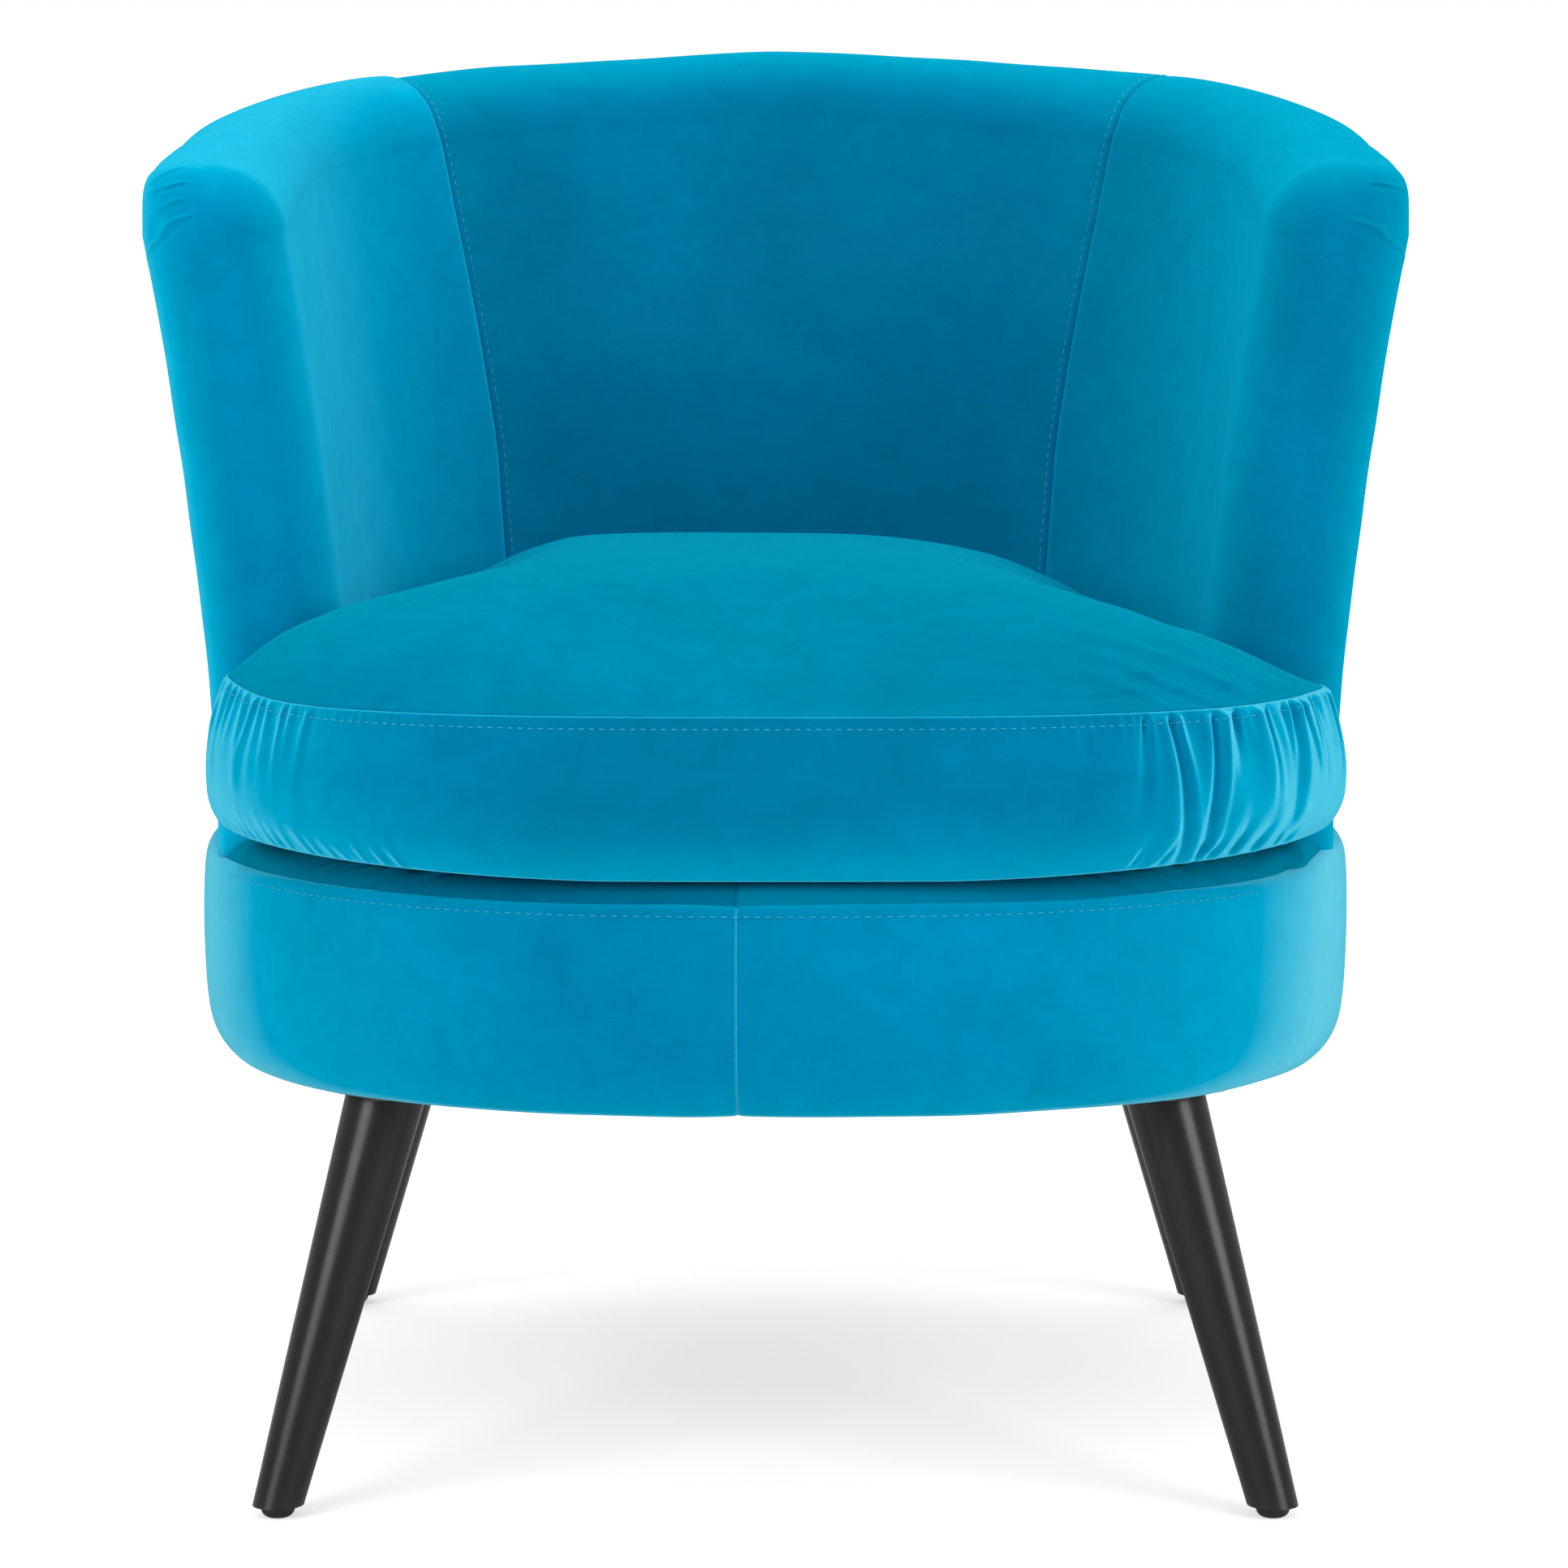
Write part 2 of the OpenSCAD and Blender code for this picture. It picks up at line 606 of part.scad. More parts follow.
function shell_grid(inset, foot_out, foot_in) =
    flatten([for (c = columns) [for (r = [0 : rows]) shell_point(c, r, inset, foot_out, foot_in)]]);

// Sheet of cloth over the cells of the shell's grid that a region holds. A region is a list
// of [first column, last column, first row, last row]. Front strips close a wing's roll.
module shell_sheet(regions, inset, thickness, foot_out, foot_in) {
    outer = shell_grid(inset, foot_out, foot_in);
    inner = shell_grid(inset + thickness, foot_out, foot_in);
    m = rows + 1;
    lift = len(outer);
    function held(c, r) = len([for (g = regions) if (c >= g[0] && c < g[1] && r >= g[2] && r < g[3]) 1]) > 0;
    function id(c, r) = c * m + r;
    function wall(a, b) = [[a, b, b + lift], [a, b + lift, a + lift]];
    cells = flatten([for (c = [0 : last_column - 1]) flatten([for (r = [0 : rows - 1]) if (held(c, r)) concat(
        [[id(c, r), id(c + 1, r), id(c + 1, r + 1)], [id(c, r), id(c + 1, r + 1), id(c, r + 1)]],
        [[id(c, r) + lift, id(c + 1, r + 1) + lift, id(c + 1, r) + lift],
         [id(c, r) + lift, id(c, r + 1) + lift, id(c + 1, r + 1) + lift]],
        held(c, r - 1) ? [] : wall(id(c + 1, r), id(c, r)),
        held(c, r + 1) ? [] : wall(id(c, r + 1), id(c + 1, r + 1)),
        c == 0 || held(c - 1, r) ? [] : wall(id(c, r), id(c, r + 1)),
        c == last_column - 1 || held(c + 1, r) ? [] : wall(id(c + 1, r + 1), id(c + 1, r)))])]);
    function strip(c, flip) = flatten([for (r = [0 : rows / 2 - 1]) let (
            a = id(c, r), b = id(c, r + 1), d = id(c, rows - r - 1), e = id(c, rows - r),
            front = r == rows / 2 - 1 ? [[a, b, e]] : [[a, b, d], [a, d, e]],
            all_faces = concat(front, [for (f = front) [f[0] + lift, f[2] + lift, f[1] + lift]],
                r == 0 ? wall(a, e) : []) )
        [for (f = all_faces) flip ? [f[2], f[1], f[0]] : f]]);
    polyhedron(concat(outer, inner), concat(cells,
        held(0, 0) ? strip(0, false) : [], held(last_column - 1, 0) ? strip(last_column, true) : []));
}

// Rows of the shell's section at a column, inside its surface
function shell_section(c, inset, foot_out, foot_in) =
    [for (r = [0 : rows]) shell_point(columns[c], r, inset, foot_out, foot_in)];

// Point at a depth from the outer face and a height, on straight lines between the outer
// face's rows, so that all layers bend at the same heights
function share_at(col, z) = (z - shell_z) / (rim_base(col) - shell_z);
function depth_point(col, depth, z) = let (
        share = min(1, max(0, share_at(col, z))),
        k = min(outer_rows - 1, floor(share * outer_rows)),
        below = wall_point(col, k / outer_rows, share_at(col, z), 0, depth, 0, 0, 1),
        above = wall_point(col, (k + 1) / outer_rows, share_at(col, z), 0, depth, 0, 0, 1),
        p = lerp(below, above, share * outer_rows - k) )
    [p[0], p[1], z];

// Edge of a layer at a column and a depth, from one height to another
function layer_edge(col, depth, low, high) = let (
        middle = columns[middle_column],
        from = share_at(middle, low(middle)) * outer_rows,
        to = share_at(middle, high(middle)) * outer_rows )
    concat([depth_point(col, depth, low(col))],
        [for (k = [0 : outer_rows]) if (k > from && k < to)
            depth_point(col, depth, lerp(shell_z, rim_base(col), k / outer_rows))],
        [depth_point(col, depth, high(col))]);

// Curved timber or card between two depths from the outer face and two heights given by
// functions of the column, over the columns from first to last
module shell_board(first, last, depth_1, depth_2, low, high) {
    ring_stack([for (c = [first : last]) let (col = columns[c])
        concat(layer_edge(col, depth_1, low, high), reversed(layer_edge(col, depth_2, low, high)))], true);
}

frame_first = roll_columns + 1;
frame_last = last_column - roll_columns - 1;
rail_h = 40;
rail_foot = ring_top + gap;
top_rail_h = 30;
function rail_low(col) = rail_foot;
function rail_high(col) = rail_foot + rail_h;
function top_rail_low(col) = rim_base(col) - 16;
function top_rail_high(col) = rim_base(col) - 16 + top_rail_h;
function upright_low(col) = rail_high(col) + gap;
function upright_high(col) = top_rail_low(col) - gap;
function card_high(col) = rim_base(col);
function slot_high(col) = top_rail_high(col) + gap;

module back_bottom_rail() {
    color(PINE) difference() {
        shell_board(frame_first, frame_last, frame_in, frame_out, function(c) rail_low(c),
            function(c) rail_high(c));
        at_back_bolts()
            cylinder(h = 2 * (ring_t + rail_h), d = back_bolt_d + 2 * bore_gap, center = true, $fn = 24);
    }
}

// Bolts that hold the back frame down on the base's ring
back_bolt_d = 6;
back_bolt_angles = [-80, -50, -20, 20, 50, 80];
module at_back_bolts() {
    depth = (frame_in + frame_out) / 2;
    for (a = back_bolt_angles)
        let (r = reach(a, outer_half(0.05) - depth, outer_back(0.05) - depth, shell_power))
        translate([r * sin(a), r * cos(a), rail_foot]) children();
}

module back_bolts() {
    length = ring_t + gap + rail_h - 10;
    color(STEEL) at_back_bolts() translate([0, 0, ring_z + 1 - rail_foot])
        cylinder(h = length, d = back_bolt_d, $fn = 24);
}

module back_uprights() {
    color(PINE) for (k = [-3 : 3]) let (c = middle_column + k * 4)
        shell_board(c, c + 1, frame_in + gap, frame_out - gap,
            function(c) upright_low(c), function(c) upright_high(c));
}

module wing_post_left() {
    color(PINE) shell_board(frame_first, frame_first + 2, frame_in + gap, frame_out - gap,
        function(c) upright_low(c), function(c) upright_high(c));
}

module wing_post_right() {
    color(PINE) shell_board(frame_last - 2, frame_last, frame_in + gap, frame_out - gap,
        function(c) upright_low(c), function(c) upright_high(c));
}

module back_top_rail() {
    color(PINE) shell_board(frame_first, frame_last, frame_in, frame_out,
        function(c) top_rail_low(c), function(c) top_rail_high(c));
}

module inner_card() {
    color([0.7, 0.6, 0.42]) shell_board(frame_first, frame_last, lining_in, lining_out,
        function(c) rail_foot + 12, function(c) card_high(c));
}

module outer_card() {
    color([0.7, 0.6, 0.42]) shell_board(frame_first, frame_last, card_in + gap, card_in + card_t,
        function(c) shell_z + 1, function(c) card_high(c));
}

inner_foot = cushion_z + gap;
pad_foot_out = shell_z + gap;
pad_foot_in = inner_foot + gap;

// Rows of the padding's face at a column, from one row to another
function pad_rows(c, first, last) = [for (r = [first : last])
    shell_point(columns[c], r, pad_in, pad_foot_out, pad_foot_in)];
// The same face just below the rim, on the side of a row, so that the pads keep a running gap
function below_rim(c, row, way) = let (foot = way < 0 ? pad_foot_out : pad_foot_in)
    shell_point(columns[c], row + way * outer_rows * gap / (rim_base(columns[c]) - foot),
        pad_in, pad_foot_out, pad_foot_in);
function below_rim_high(col) = rim_base(col) - gap;

module over_frame_columns(section) {
    color(FOAM) ring_stack([for (c = [roll_columns : last_column - roll_columns]) section(c)]);
}

// Thick pad on the inner card
module back_foam() {
    over_frame_columns(function(c) concat([below_rim(c, outer_rows + rim_rows, 1)],
        pad_rows(c, outer_rows + rim_rows + 1, rows),
        layer_edge(columns[c], lining_out + gap,
            function(col) pad_foot_in, function(col) below_rim_high(col))));
}

// Roll over the frame's top rail, slotted from below
module rim_foam() {
    over_frame_columns(function(c) concat(pad_rows(c, outer_rows, outer_rows + rim_rows),
        layer_edge(columns[c], lining_out + gap, function(col) rim_base(col), function(col) slot_high(col)),
        reversed(layer_edge(columns[c], card_in,
            function(col) rim_base(col), function(col) slot_high(col)))));
}

// Thin layer on the outer card
module outer_wadding() {
    over_frame_columns(function(c) concat(pad_rows(c, 0, outer_rows - 1), [below_rim(c, outer_rows, -1)],
        reversed(layer_edge(columns[c], card_in,
            function(col) pad_foot_out, function(col) below_rim_high(col)))));
}

// Rounded pads at the wing fronts
module wing_roll_left() {
    color(WADDING) ring_stack([for (c = [0 : roll_columns])
        shell_section(c, pad_in, pad_foot_out, pad_foot_in)], true);
}

module wing_roll_right() {
    color(WADDING) ring_stack([for (c = [last_column - roll_columns : last_column])
        shell_section(c, pad_in, pad_foot_out, pad_foot_in)], true);
}

// Row where the outer cover ends under the rim
outer_edge_row = outer_rows;

module inner_back_centre() {
    color(TEAL) shell_sheet(
        [[middle_column - seam_column, middle_column + seam_column, outer_edge_row, rows]],
        0, cloth_t, shell_z, inner_foot);
}

module inner_side_left() {
    color(DARK_TEAL) shell_sheet([[0, roll_columns, 0, rows],
        [roll_columns, middle_column - seam_column, outer_edge_row, rows]], 0, cloth_t, shell_z, inner_foot);
}

module inner_side_right() {
    color(DARK_TEAL) shell_sheet([[last_column - roll_columns, last_column, 0, rows],
        [middle_column + seam_column, last_column - roll_columns, outer_edge_row, rows]],
        0, cloth_t, shell_z, inner_foot);
}

module outer_back_cover() {
    color(TEAL) shell_sheet([[roll_columns, last_column - roll_columns, 0, outer_edge_row]],
        0, cloth_t, shell_z, inner_foot);
}

// Cushion

cushion_body = wing_gap - cushion_gap;
cushion_ears = wing_reach + cushion_gap + 3;
cushion_rear = inner_back - cushion_gap - 5;
function cushion_plan(inset) = seat_plan(cushion_half, cushion_front, cushion_power, cushion_body,
    cushion_ears, cushion_rear, zip_radius, inset);

// Height of the crown over a point of the plan, from 0 at the edge to 1
crown_centre_y = -60;
crown_depth = 262;
function crown_at(p) = let (
        k = min(1, max(0, (-100 - p[1]) / 90)),
        w = cushion_body + 6 + (cushion_half - cushion_body) * k )
    max(0, 1 - pow(abs(p[0]) / w, 2.1)) * max(0, 1 - pow(abs(p[1] - crown_centre_y) / crown_depth, 3));

crown_y = -cushion_ears - 14;
function crown_ring(s, inset, settle = 0) = [for (p = cushion_plan(inset)) let (
        q = [p[0] * s, crown_y + (p[1] - crown_y) * s],
        pin = 1 - pow(s, 7) )
    [q[0], q[1], cushion_seam_z + (crown - settle) * crown_at(q) * pin - inset]];

crown_steps = [1, 0.95, 0.87, 0.76, 0.62, 0.45, 0.25, 0.06];

module cushion_top_panel() {
    color(TEAL) ring_stack(concat([for (s = reversed(crown_steps)) crown_ring(s, cloth_t)],
        [for (s = crown_steps) crown_ring(s, 0)]));
}

// Boxing band, drawn in at both seams and swelling at the front and the ears
function boxing_ring(k, inset) = let (
        z = lerp(cushion_z, cushion_seam_z - cloth_t - gap, k),
        plain = cushion_plan(inset + 0.2),
        swell = boxing_swell * sin(180 * k) )
    [for (p = plain) let (front = min(1, max(0, (-cushion_ears + 4 - p[1]) / 12)),
        r = norm([p[0], p[1] + 60]))
        [p[0] + p[0] / r * swell * front, p[1] + (p[1] + 60) / r * swell * front, z]];

module cushion_boxing() {
    ks = [0, 0.25, 0.5, 0.75, 1];
    color(TEAL) ring_wall(concat([for (k = ks) boxing_ring(k, 0)],
        [for (k = reversed(ks)) boxing_ring(k, cloth_t)]));
}

module cushion_bottom_panel() {
    color(DARK_TEAL) translate([0, 0, cushion_z]) linear_extrude(cloth_t)
        polygon(cushion_plan(cloth_t + 0.2 + gap));
}

core_inset = 14;
core_z = cushion_z + cloth_t + gap;
core_top = cushion_seam_z - 6;
module cushion_core() {
    color(FOAM) translate([0, 0, core_z]) linear_extrude(core_top - core_z) polygon(cushion_plan(core_inset));
}

// Fibre layer between the foam core and the crowned panel
module cushion_wrap() {
    fibre = cloth_t + gap + 1;
    color(WADDING) ring_stack(concat([at_height(cushion_plan(fibre), core_top + gap)],
        [for (s = crown_steps) crown_ring(s, fibre, 3)]));
}

// Zip along the cushion's rear edge, drawn as arcs about one upright axis
zip_z = cushion_z + boxing_h / 2;
zip_y = cushion_rear - 0.2 - zip_radius;
tape_h = 26;
tape_t = 0.8;
coil_w = 5;
coil_t = 1.6;
zip_face = zip_radius + gap;

// Arc about the zip's axis, with a section given as [depth, height] from a radius
module zip_arc(radius, depth, height, half_angle) {
    translate([0, zip_y, zip_z]) rotate([0, 0, 90 - half_angle])
        rotate_extrude(angle = 2 * half_angle, $fn = 180)
        translate([radius, -height / 2]) square([depth, height]);
}

module zip_tape() { color([0.1, 0.3, 0.38]) zip_arc(zip_face, tape_t, tape_h, zip_half_angle); }
module zip_coil() {
    color([0.1, 0.32, 0.4]) zip_arc(zip_face + tape_t + bore_gap, coil_t, coil_w, zip_half_angle - 0.5);
}

slider_l = 9;
slider_angle = zip_half_angle - 2;
module zip_slider() {
    wall = 0.8;
    inner = coil_t + bore_gap;
    color(STEEL) translate([0, zip_y, zip_z]) rotate([0, 0, 90 - slider_angle])
        translate([zip_face + tape_t + gap, 0, 0]) difference() {
            translate([0, -slider_l / 2, -coil_w / 2 - gap - wall])
                cube([inner + wall, slider_l, coil_w + 2 * (gap + wall)]);
            translate([-1, -slider_l, -coil_w / 2 - gap]) cube([inner + 1, 2 * slider_l, coil_w + 2 * gap]);
        }
}

leg_front_left();
leg_front_right();
leg_rear_left();
leg_rear_right();
floor_glides();
leg_plates();
hanger_bolts();
tee_nuts();
plate_screws();
base_bottom_board();
base_blocks();
base_top_ring();
base_side_panel();
base_padding();
base_border_cover();
dust_cover();
seat_springs();
spring_clips();
spring_felt();
deck_foam();
deck_cloth();
deck_facing_left();
deck_facing_right();
back_bottom_rail();
back_uprights();
wing_post_left();
wing_post_right();
back_top_rail();
back_bolts();
inner_card();
outer_card();
back_foam();
rim_foam();
outer_wadding();
wing_roll_left();
wing_roll_right();
inner_back_centre();
inner_side_left();
inner_side_right();
outer_back_cover();
cushion_core();
cushion_wrap();
cushion_top_panel();
cushion_boxing();
cushion_bottom_panel();
zip_tape();
zip_coil();
zip_slider();
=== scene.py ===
"""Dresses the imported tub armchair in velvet, lacquer and trim, and sets its camera and lamps."""

import logging
import math
from dataclasses import dataclass, field
from enum import Enum
from typing import Callable

import bmesh
import bpy
import numpy as np
from mathutils import Matrix, Vector, kdtree


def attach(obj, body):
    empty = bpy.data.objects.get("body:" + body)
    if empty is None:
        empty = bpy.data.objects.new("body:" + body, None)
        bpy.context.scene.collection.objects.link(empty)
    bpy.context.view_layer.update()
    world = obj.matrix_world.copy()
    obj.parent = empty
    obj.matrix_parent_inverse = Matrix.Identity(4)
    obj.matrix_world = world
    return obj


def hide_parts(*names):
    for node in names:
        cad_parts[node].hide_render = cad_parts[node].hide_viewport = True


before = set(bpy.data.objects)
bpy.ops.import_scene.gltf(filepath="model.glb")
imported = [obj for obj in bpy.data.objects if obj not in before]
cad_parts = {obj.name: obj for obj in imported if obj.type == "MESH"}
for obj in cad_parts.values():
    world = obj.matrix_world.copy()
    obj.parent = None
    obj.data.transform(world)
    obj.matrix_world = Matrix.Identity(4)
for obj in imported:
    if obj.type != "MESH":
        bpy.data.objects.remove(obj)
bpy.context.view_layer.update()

logging.basicConfig(level=logging.INFO, format="%(message)s")
log = logging.getLogger("armchair")

CLOTH = 0.0018
DECK_CLOTH = 0.0009
TUCK = 0.0016
JOIN = 1e-5
THREAD_LIFT = 0.0001
OUTLINE_POINTS = 1440
SEAT_POWER = 2.6
Array = np.ndarray
Surface = Callable[[Array, Array], Array]
Placed = tuple[Array, Array, Array]
Placing = Callable[[Array, Array], Placed]
Out = bpy.types.NodeSocket
Colour = tuple[float, float, float]


class Side(Enum):
    """Side of the chair, as seen from its front."""

    LEFT = -1
    RIGHT = 1

    @property
    def word(self) -> str:
        """The side as names say it."""
        return self.name.lower()


class Body(Enum):
    """Moving body that a piece rides on."""

    FRAME = "root"
    CUSHION = "cushion"


# Shader groups and finishes


def opaque(colour: Colour | Out) -> tuple[float, ...] | Out:
    """Gives a plain colour its alpha, and leaves a socket as it is."""
    return (*colour, 1.0) if isinstance(colour, tuple) else colour


class Nodes:
    """A node tree, with short calls for the nodes that the finishes share."""

    def __init__(self, tree: bpy.types.NodeTree) -> None:
        """Takes the tree that gets the nodes."""
        self.tree = tree

    def feed(self, socket: bpy.types.NodeSocket, value: object) -> None:
        """Links an output to an input, or sets the input's value.

        Args:
            socket: The input.
            value: The value, or the output that feeds it.
        """
        if isinstance(value, bpy.types.NodeSocket):
            self.tree.links.new(value, socket)
        else:
            socket.default_value = value

    def add(self, kind: str, feeds: dict[str | int, object] | None = None, **settings: object) -> bpy.types.Node:
        """Adds a shader node, its settings and what feeds it.

        Args:
            kind: Blender's type name of the node, without ShaderNode.
            feeds: Input to value, or to the output that feeds it.
            **settings: Attributes of the node.

        Returns:
            The new node.
        """
        node = self.tree.nodes.new(f"ShaderNode{kind}")
        for name, value in settings.items():
            setattr(node, name, value)
        for key, value in (feeds or {}).items():
            self.feed(node.inputs[key], value)
        return node

    def math(self, operation: str, first: object, second: object, clamp: bool = False) -> Out:
        """Result of a sum on two values."""
        return self.add("Math", {0: first, 1: second}, operation=operation, use_clamp=clamp).outputs[0]

    def span(self, value: Out, low: float, high: float, start: float = 0.0, end: float = 1.0) -> Out:
        """Carries a value that runs from start to end over to low and high."""
        return self.add("MapRange", {"Value": value, "From Min": start, "From Max": end, "To Min": low,
                                     "To Max": high}).outputs[0]

    def mix(self, share: Out, first: Colour | Out, second: Colour | Out) -> Out:
        """Mixes two colours."""
        return self.add("Mix", {0: share, 6: opaque(first), 7: opaque(second)}, data_type="RGBA").outputs[2]

    def noise(self, place: Out, scale: object, detail: float, **more: float) -> Out:
        """Soft noise over a place."""
        return self.add("TexNoise", {"Vector": place, "Scale": scale, "Detail": detail, **more}).outputs["Fac"]

    def stretched(self, place: Out, scale: Colour) -> Out:
        """A place scaled along each axis."""
        return self.add("Mapping", {"Vector": place, "Scale": scale}).outputs[0]

    def bump(self, height: Out, strength: float, distance: float) -> Out:
        """Normal of a surface with a fine relief."""
        return self.add("Bump", {"Height": height, "Strength": strength, "Distance": distance}).outputs[0]

    def shared(self, name: str, place: Out, **feeds: float) -> Out:
        """Output of one of the shared groups, over a place and with its other inputs by name."""
        return self.add("Group", {"Place": place, **feeds}, node_tree=GROUPS[name]).outputs[0]


class Group(Nodes):
    """A shader group with a place and some values in, and one value out."""

    def __init__(self, name: str, output: str, **inputs: float) -> None:
        """Starts a group with its sockets.

        Args:
            name: Name of the group.
            output: Name of its output.
            **inputs: Start value of each input beside the place.
        """
        super().__init__(bpy.data.node_groups.new(name, "ShaderNodeTree"))
        sockets = self.tree.interface
        sockets.new_socket("Place", in_out="INPUT", socket_type="NodeSocketVector")
        for label, value in inputs.items():
            sockets.new_socket(label, in_out="INPUT", socket_type="NodeSocketFloat").default_value = value
        sockets.new_socket(output, in_out="OUTPUT", socket_type="NodeSocketFloat")
        self.way_in = self.tree.nodes.new("NodeGroupInput").outputs
        self.way_out = self.tree.nodes.new("NodeGroupOutput").inputs[0]

    def closed(self, result: Out) -> bpy.types.NodeTree:
        """Sends the result out and gives the group's tree."""
        self.feed(self.way_out, result)
        return self.tree


def cloud_group() -> bpy.types.NodeTree:
    """Group of soft cloudy patches, as where velvet's nap was brushed.

    Returns:
        The group, with Place, Scale and Contrast in and Mask out.
    """
    group = Group("brushed_clouds", "Mask", Scale=4.0, Contrast=1.0)
    wide = group.noise(group.way_in["Place"], group.way_in["Scale"], 3.0, Roughness=0.55, Distortion=0.8)
    strong = group.math("MULTIPLY", group.math("SUBTRACT", wide, 0.5), group.way_in["Contrast"])
    return group.closed(group.math("ADD", strong, 0.5, clamp=True))


def weave_group() -> bpy.types.NodeTree:
    """Group of fine crossing yarn lines on the cloth's own map.

    Returns:
        The group, with Place, Pitch (yarns in a metre) and Fuzz in, and Height out.
    """
    group = Group("yarn_weave", "Height", Pitch=700.0, Fuzz=0.5)
    place = group.way_in["Place"]
    wave = {"Vector": place, "Scale": group.way_in["Pitch"], "Distortion": 1.2, "Detail": 1.0}
    bands = [group.add("TexWave", wave, bands_direction=way).outputs["Fac"] for way in ("X", "Y")]
    fuzz = group.math("MULTIPLY", group.noise(place, 900.0, 2.0), group.way_in["Fuzz"])
    return group.closed(group.math("ADD", group.math("ADD", *bands), fuzz))


def wear_group() -> bpy.types.NodeTree:
    """Group that finds a piece's outer edges and roughens them a little.

    Returns:
        The group, with Place and Amount in and Mask out.
    """
    group = Group("edge_wear", "Mask", Amount=0.5)
    edge = group.span(group.add("NewGeometry").outputs["Pointiness"], 0.0, 1.0, 0.52, 0.62)
    both = group.math("MULTIPLY", edge, group.noise(group.way_in["Place"], 60.0, 4.0))
    return group.closed(group.math("MULTIPLY", both, group.way_in["Amount"], clamp=True))


GROUPS = {"clouds": cloud_group(), "weave": weave_group(), "wear": wear_group()}
# DEEP is the velvet's own dye colour; the bright colour after it is painted sheen, mixed into the base colour
# where the surface is seen edge on.
DEEP = (0.0, 0.176, 0.332)
PAINTED_SHEEN = (0.0, 0.395, 0.595)
# Pale colour of the painted rim sheen, mixed in where the velvet is seen most edge on.
PAINTED_RIM_SHEEN = (0.13, 0.58, 0.74)
SHEEN = (0.02, 0.6, 0.85)


def dyed(colour: Colour, strength: float) -> Colour:
    """A colour at a strength, for the velvet's dye and for its painted sheen."""
    return tuple(c * strength for c in colour)


@dataclass(frozen=True)
class Finish:
    """One material; every kind of finish says what feeds its shader."""

    name: str

    def feeds(self, nodes: Nodes, place: bpy.types.NodeInputs) -> dict[str, object]:
        """What feeds the Principled shader.

        Args:
            nodes: The material's nodes.
            place: Outputs of its texture coordinates.

        Returns:
            Name of each input to its value or feeding output.
        """
        raise NotImplementedError

    def material(self) -> bpy.types.Material:
        """Builds the material.

        Returns:
            The material.
        """
        material = bpy.data.materials.new(self.name)
        material.use_nodes = True
        nodes = Nodes(material.node_tree)
        shader = nodes.tree.nodes["Principled BSDF"]
        for key, value in self.feeds(nodes, nodes.add("TexCoord").outputs).items():
            nodes.feed(shader.inputs[key], value)
        return material


@dataclass(frozen=True)
class Velvet(Finish):
    """Short-pile velvet with its sheen painted into its base colour: deep where it faces the eye, bright where the
    pile is seen edge on.

    Each sweep adds painted sheen along an axis, or takes it away where its strength is negative, growing towards
    one end: its name, where it starts and ends, and its strength.
    """

    deep: float
    bright: float
    cloud_scale: float = 5.0
    cloud_contrast: float = 1.2
    lean: float = 0.0
    # Strength of the painted pale rim sheen.
    rim: float = 0.0
    sweeps: tuple[tuple[str, float, float, float], ...] = ()

    def feeds(self, nodes: Nodes, place: bpy.types.NodeInputs) -> dict[str, object]:
        """What feeds the velvet's shader; see Finish.feeds."""
        clouds = nodes.shared("clouds", place["Object"], Scale=self.cloud_scale, Contrast=self.cloud_contrast)
        # Painted sheen: the base colour follows Layer Weight's facing, deep face on and bright edge on.
        grazing = nodes.add("LayerWeight", {"Blend": 0.5}).outputs["Facing"]
        axes = nodes.add("SeparateXYZ", {0: place["Object"]}).outputs
        # Painted sheen that grows or fades towards one end of a panel along an axis.
        for axis, start, end, strength in self.sweeps:
            grazing = nodes.math("ADD", grazing, nodes.span(axes[axis], 0.0, strength, start, end))
        shade = nodes.mix(clouds, dyed(DEEP, self.deep * 0.88), dyed(DEEP, self.deep * 1.45))
        grazed = nodes.mix(nodes.span(grazing, self.lean, 1.0, 0.05, 0.85), shade, dyed(PAINTED_SHEEN, self.bright))
        # Painted rim sheen: the pale colour is mixed in where the surface is seen most edge on.
        with_rim_sheen = nodes.mix(nodes.span(grazing, 0.0, self.rim, 0.5, 0.8), grazed, PAINTED_RIM_SHEEN)
        speck = nodes.span(nodes.shared("clouds", place["Object"], Scale=60.0, Contrast=1.4), 0.92, 1.08)
        weave = nodes.shared("weave", place["UV"], Pitch=230.0, Fuzz=1.6)
        return {"Base Color": nodes.add("VectorMath", {0: with_rim_sheen, 3: speck}, operation="SCALE").outputs[0],
                "Roughness": nodes.span(clouds, 0.62, 0.82), "Normal": nodes.bump(weave, 0.12, 0.0003),
                "Sheen Weight": 0.3, "Sheen Roughness": 0.2, "Sheen Tint": opaque(SHEEN),
                "Specular IOR Level": 0.0}


@dataclass(frozen=True)
class Lacquer(Finish):
    """Satin lacquer on turned wood, thinner on its edges, with the grain just felt under it."""

    colour: Colour = (0.0045, 0.0048, 0.0055)
    worn: Colour = (0.03, 0.018, 0.012)
    roughness: float = 0.27

    def feeds(self, nodes: Nodes, place: bpy.types.NodeInputs) -> dict[str, object]:
        """What feeds the lacquer's shader; see Finish.feeds."""
        grain = nodes.noise(nodes.stretched(place["Object"], (40.0, 40.0, 3.0)), 4.0, 5.0)
        return {"Base Color": nodes.mix(nodes.shared("wear", place["Object"], Amount=0.8), self.colour, self.worn),
                "Roughness": nodes.span(grain, self.roughness - 0.05, self.roughness + 0.08),
                "Normal": nodes.bump(grain, 0.12, 0.0003), "Specular IOR Level": 0.4}


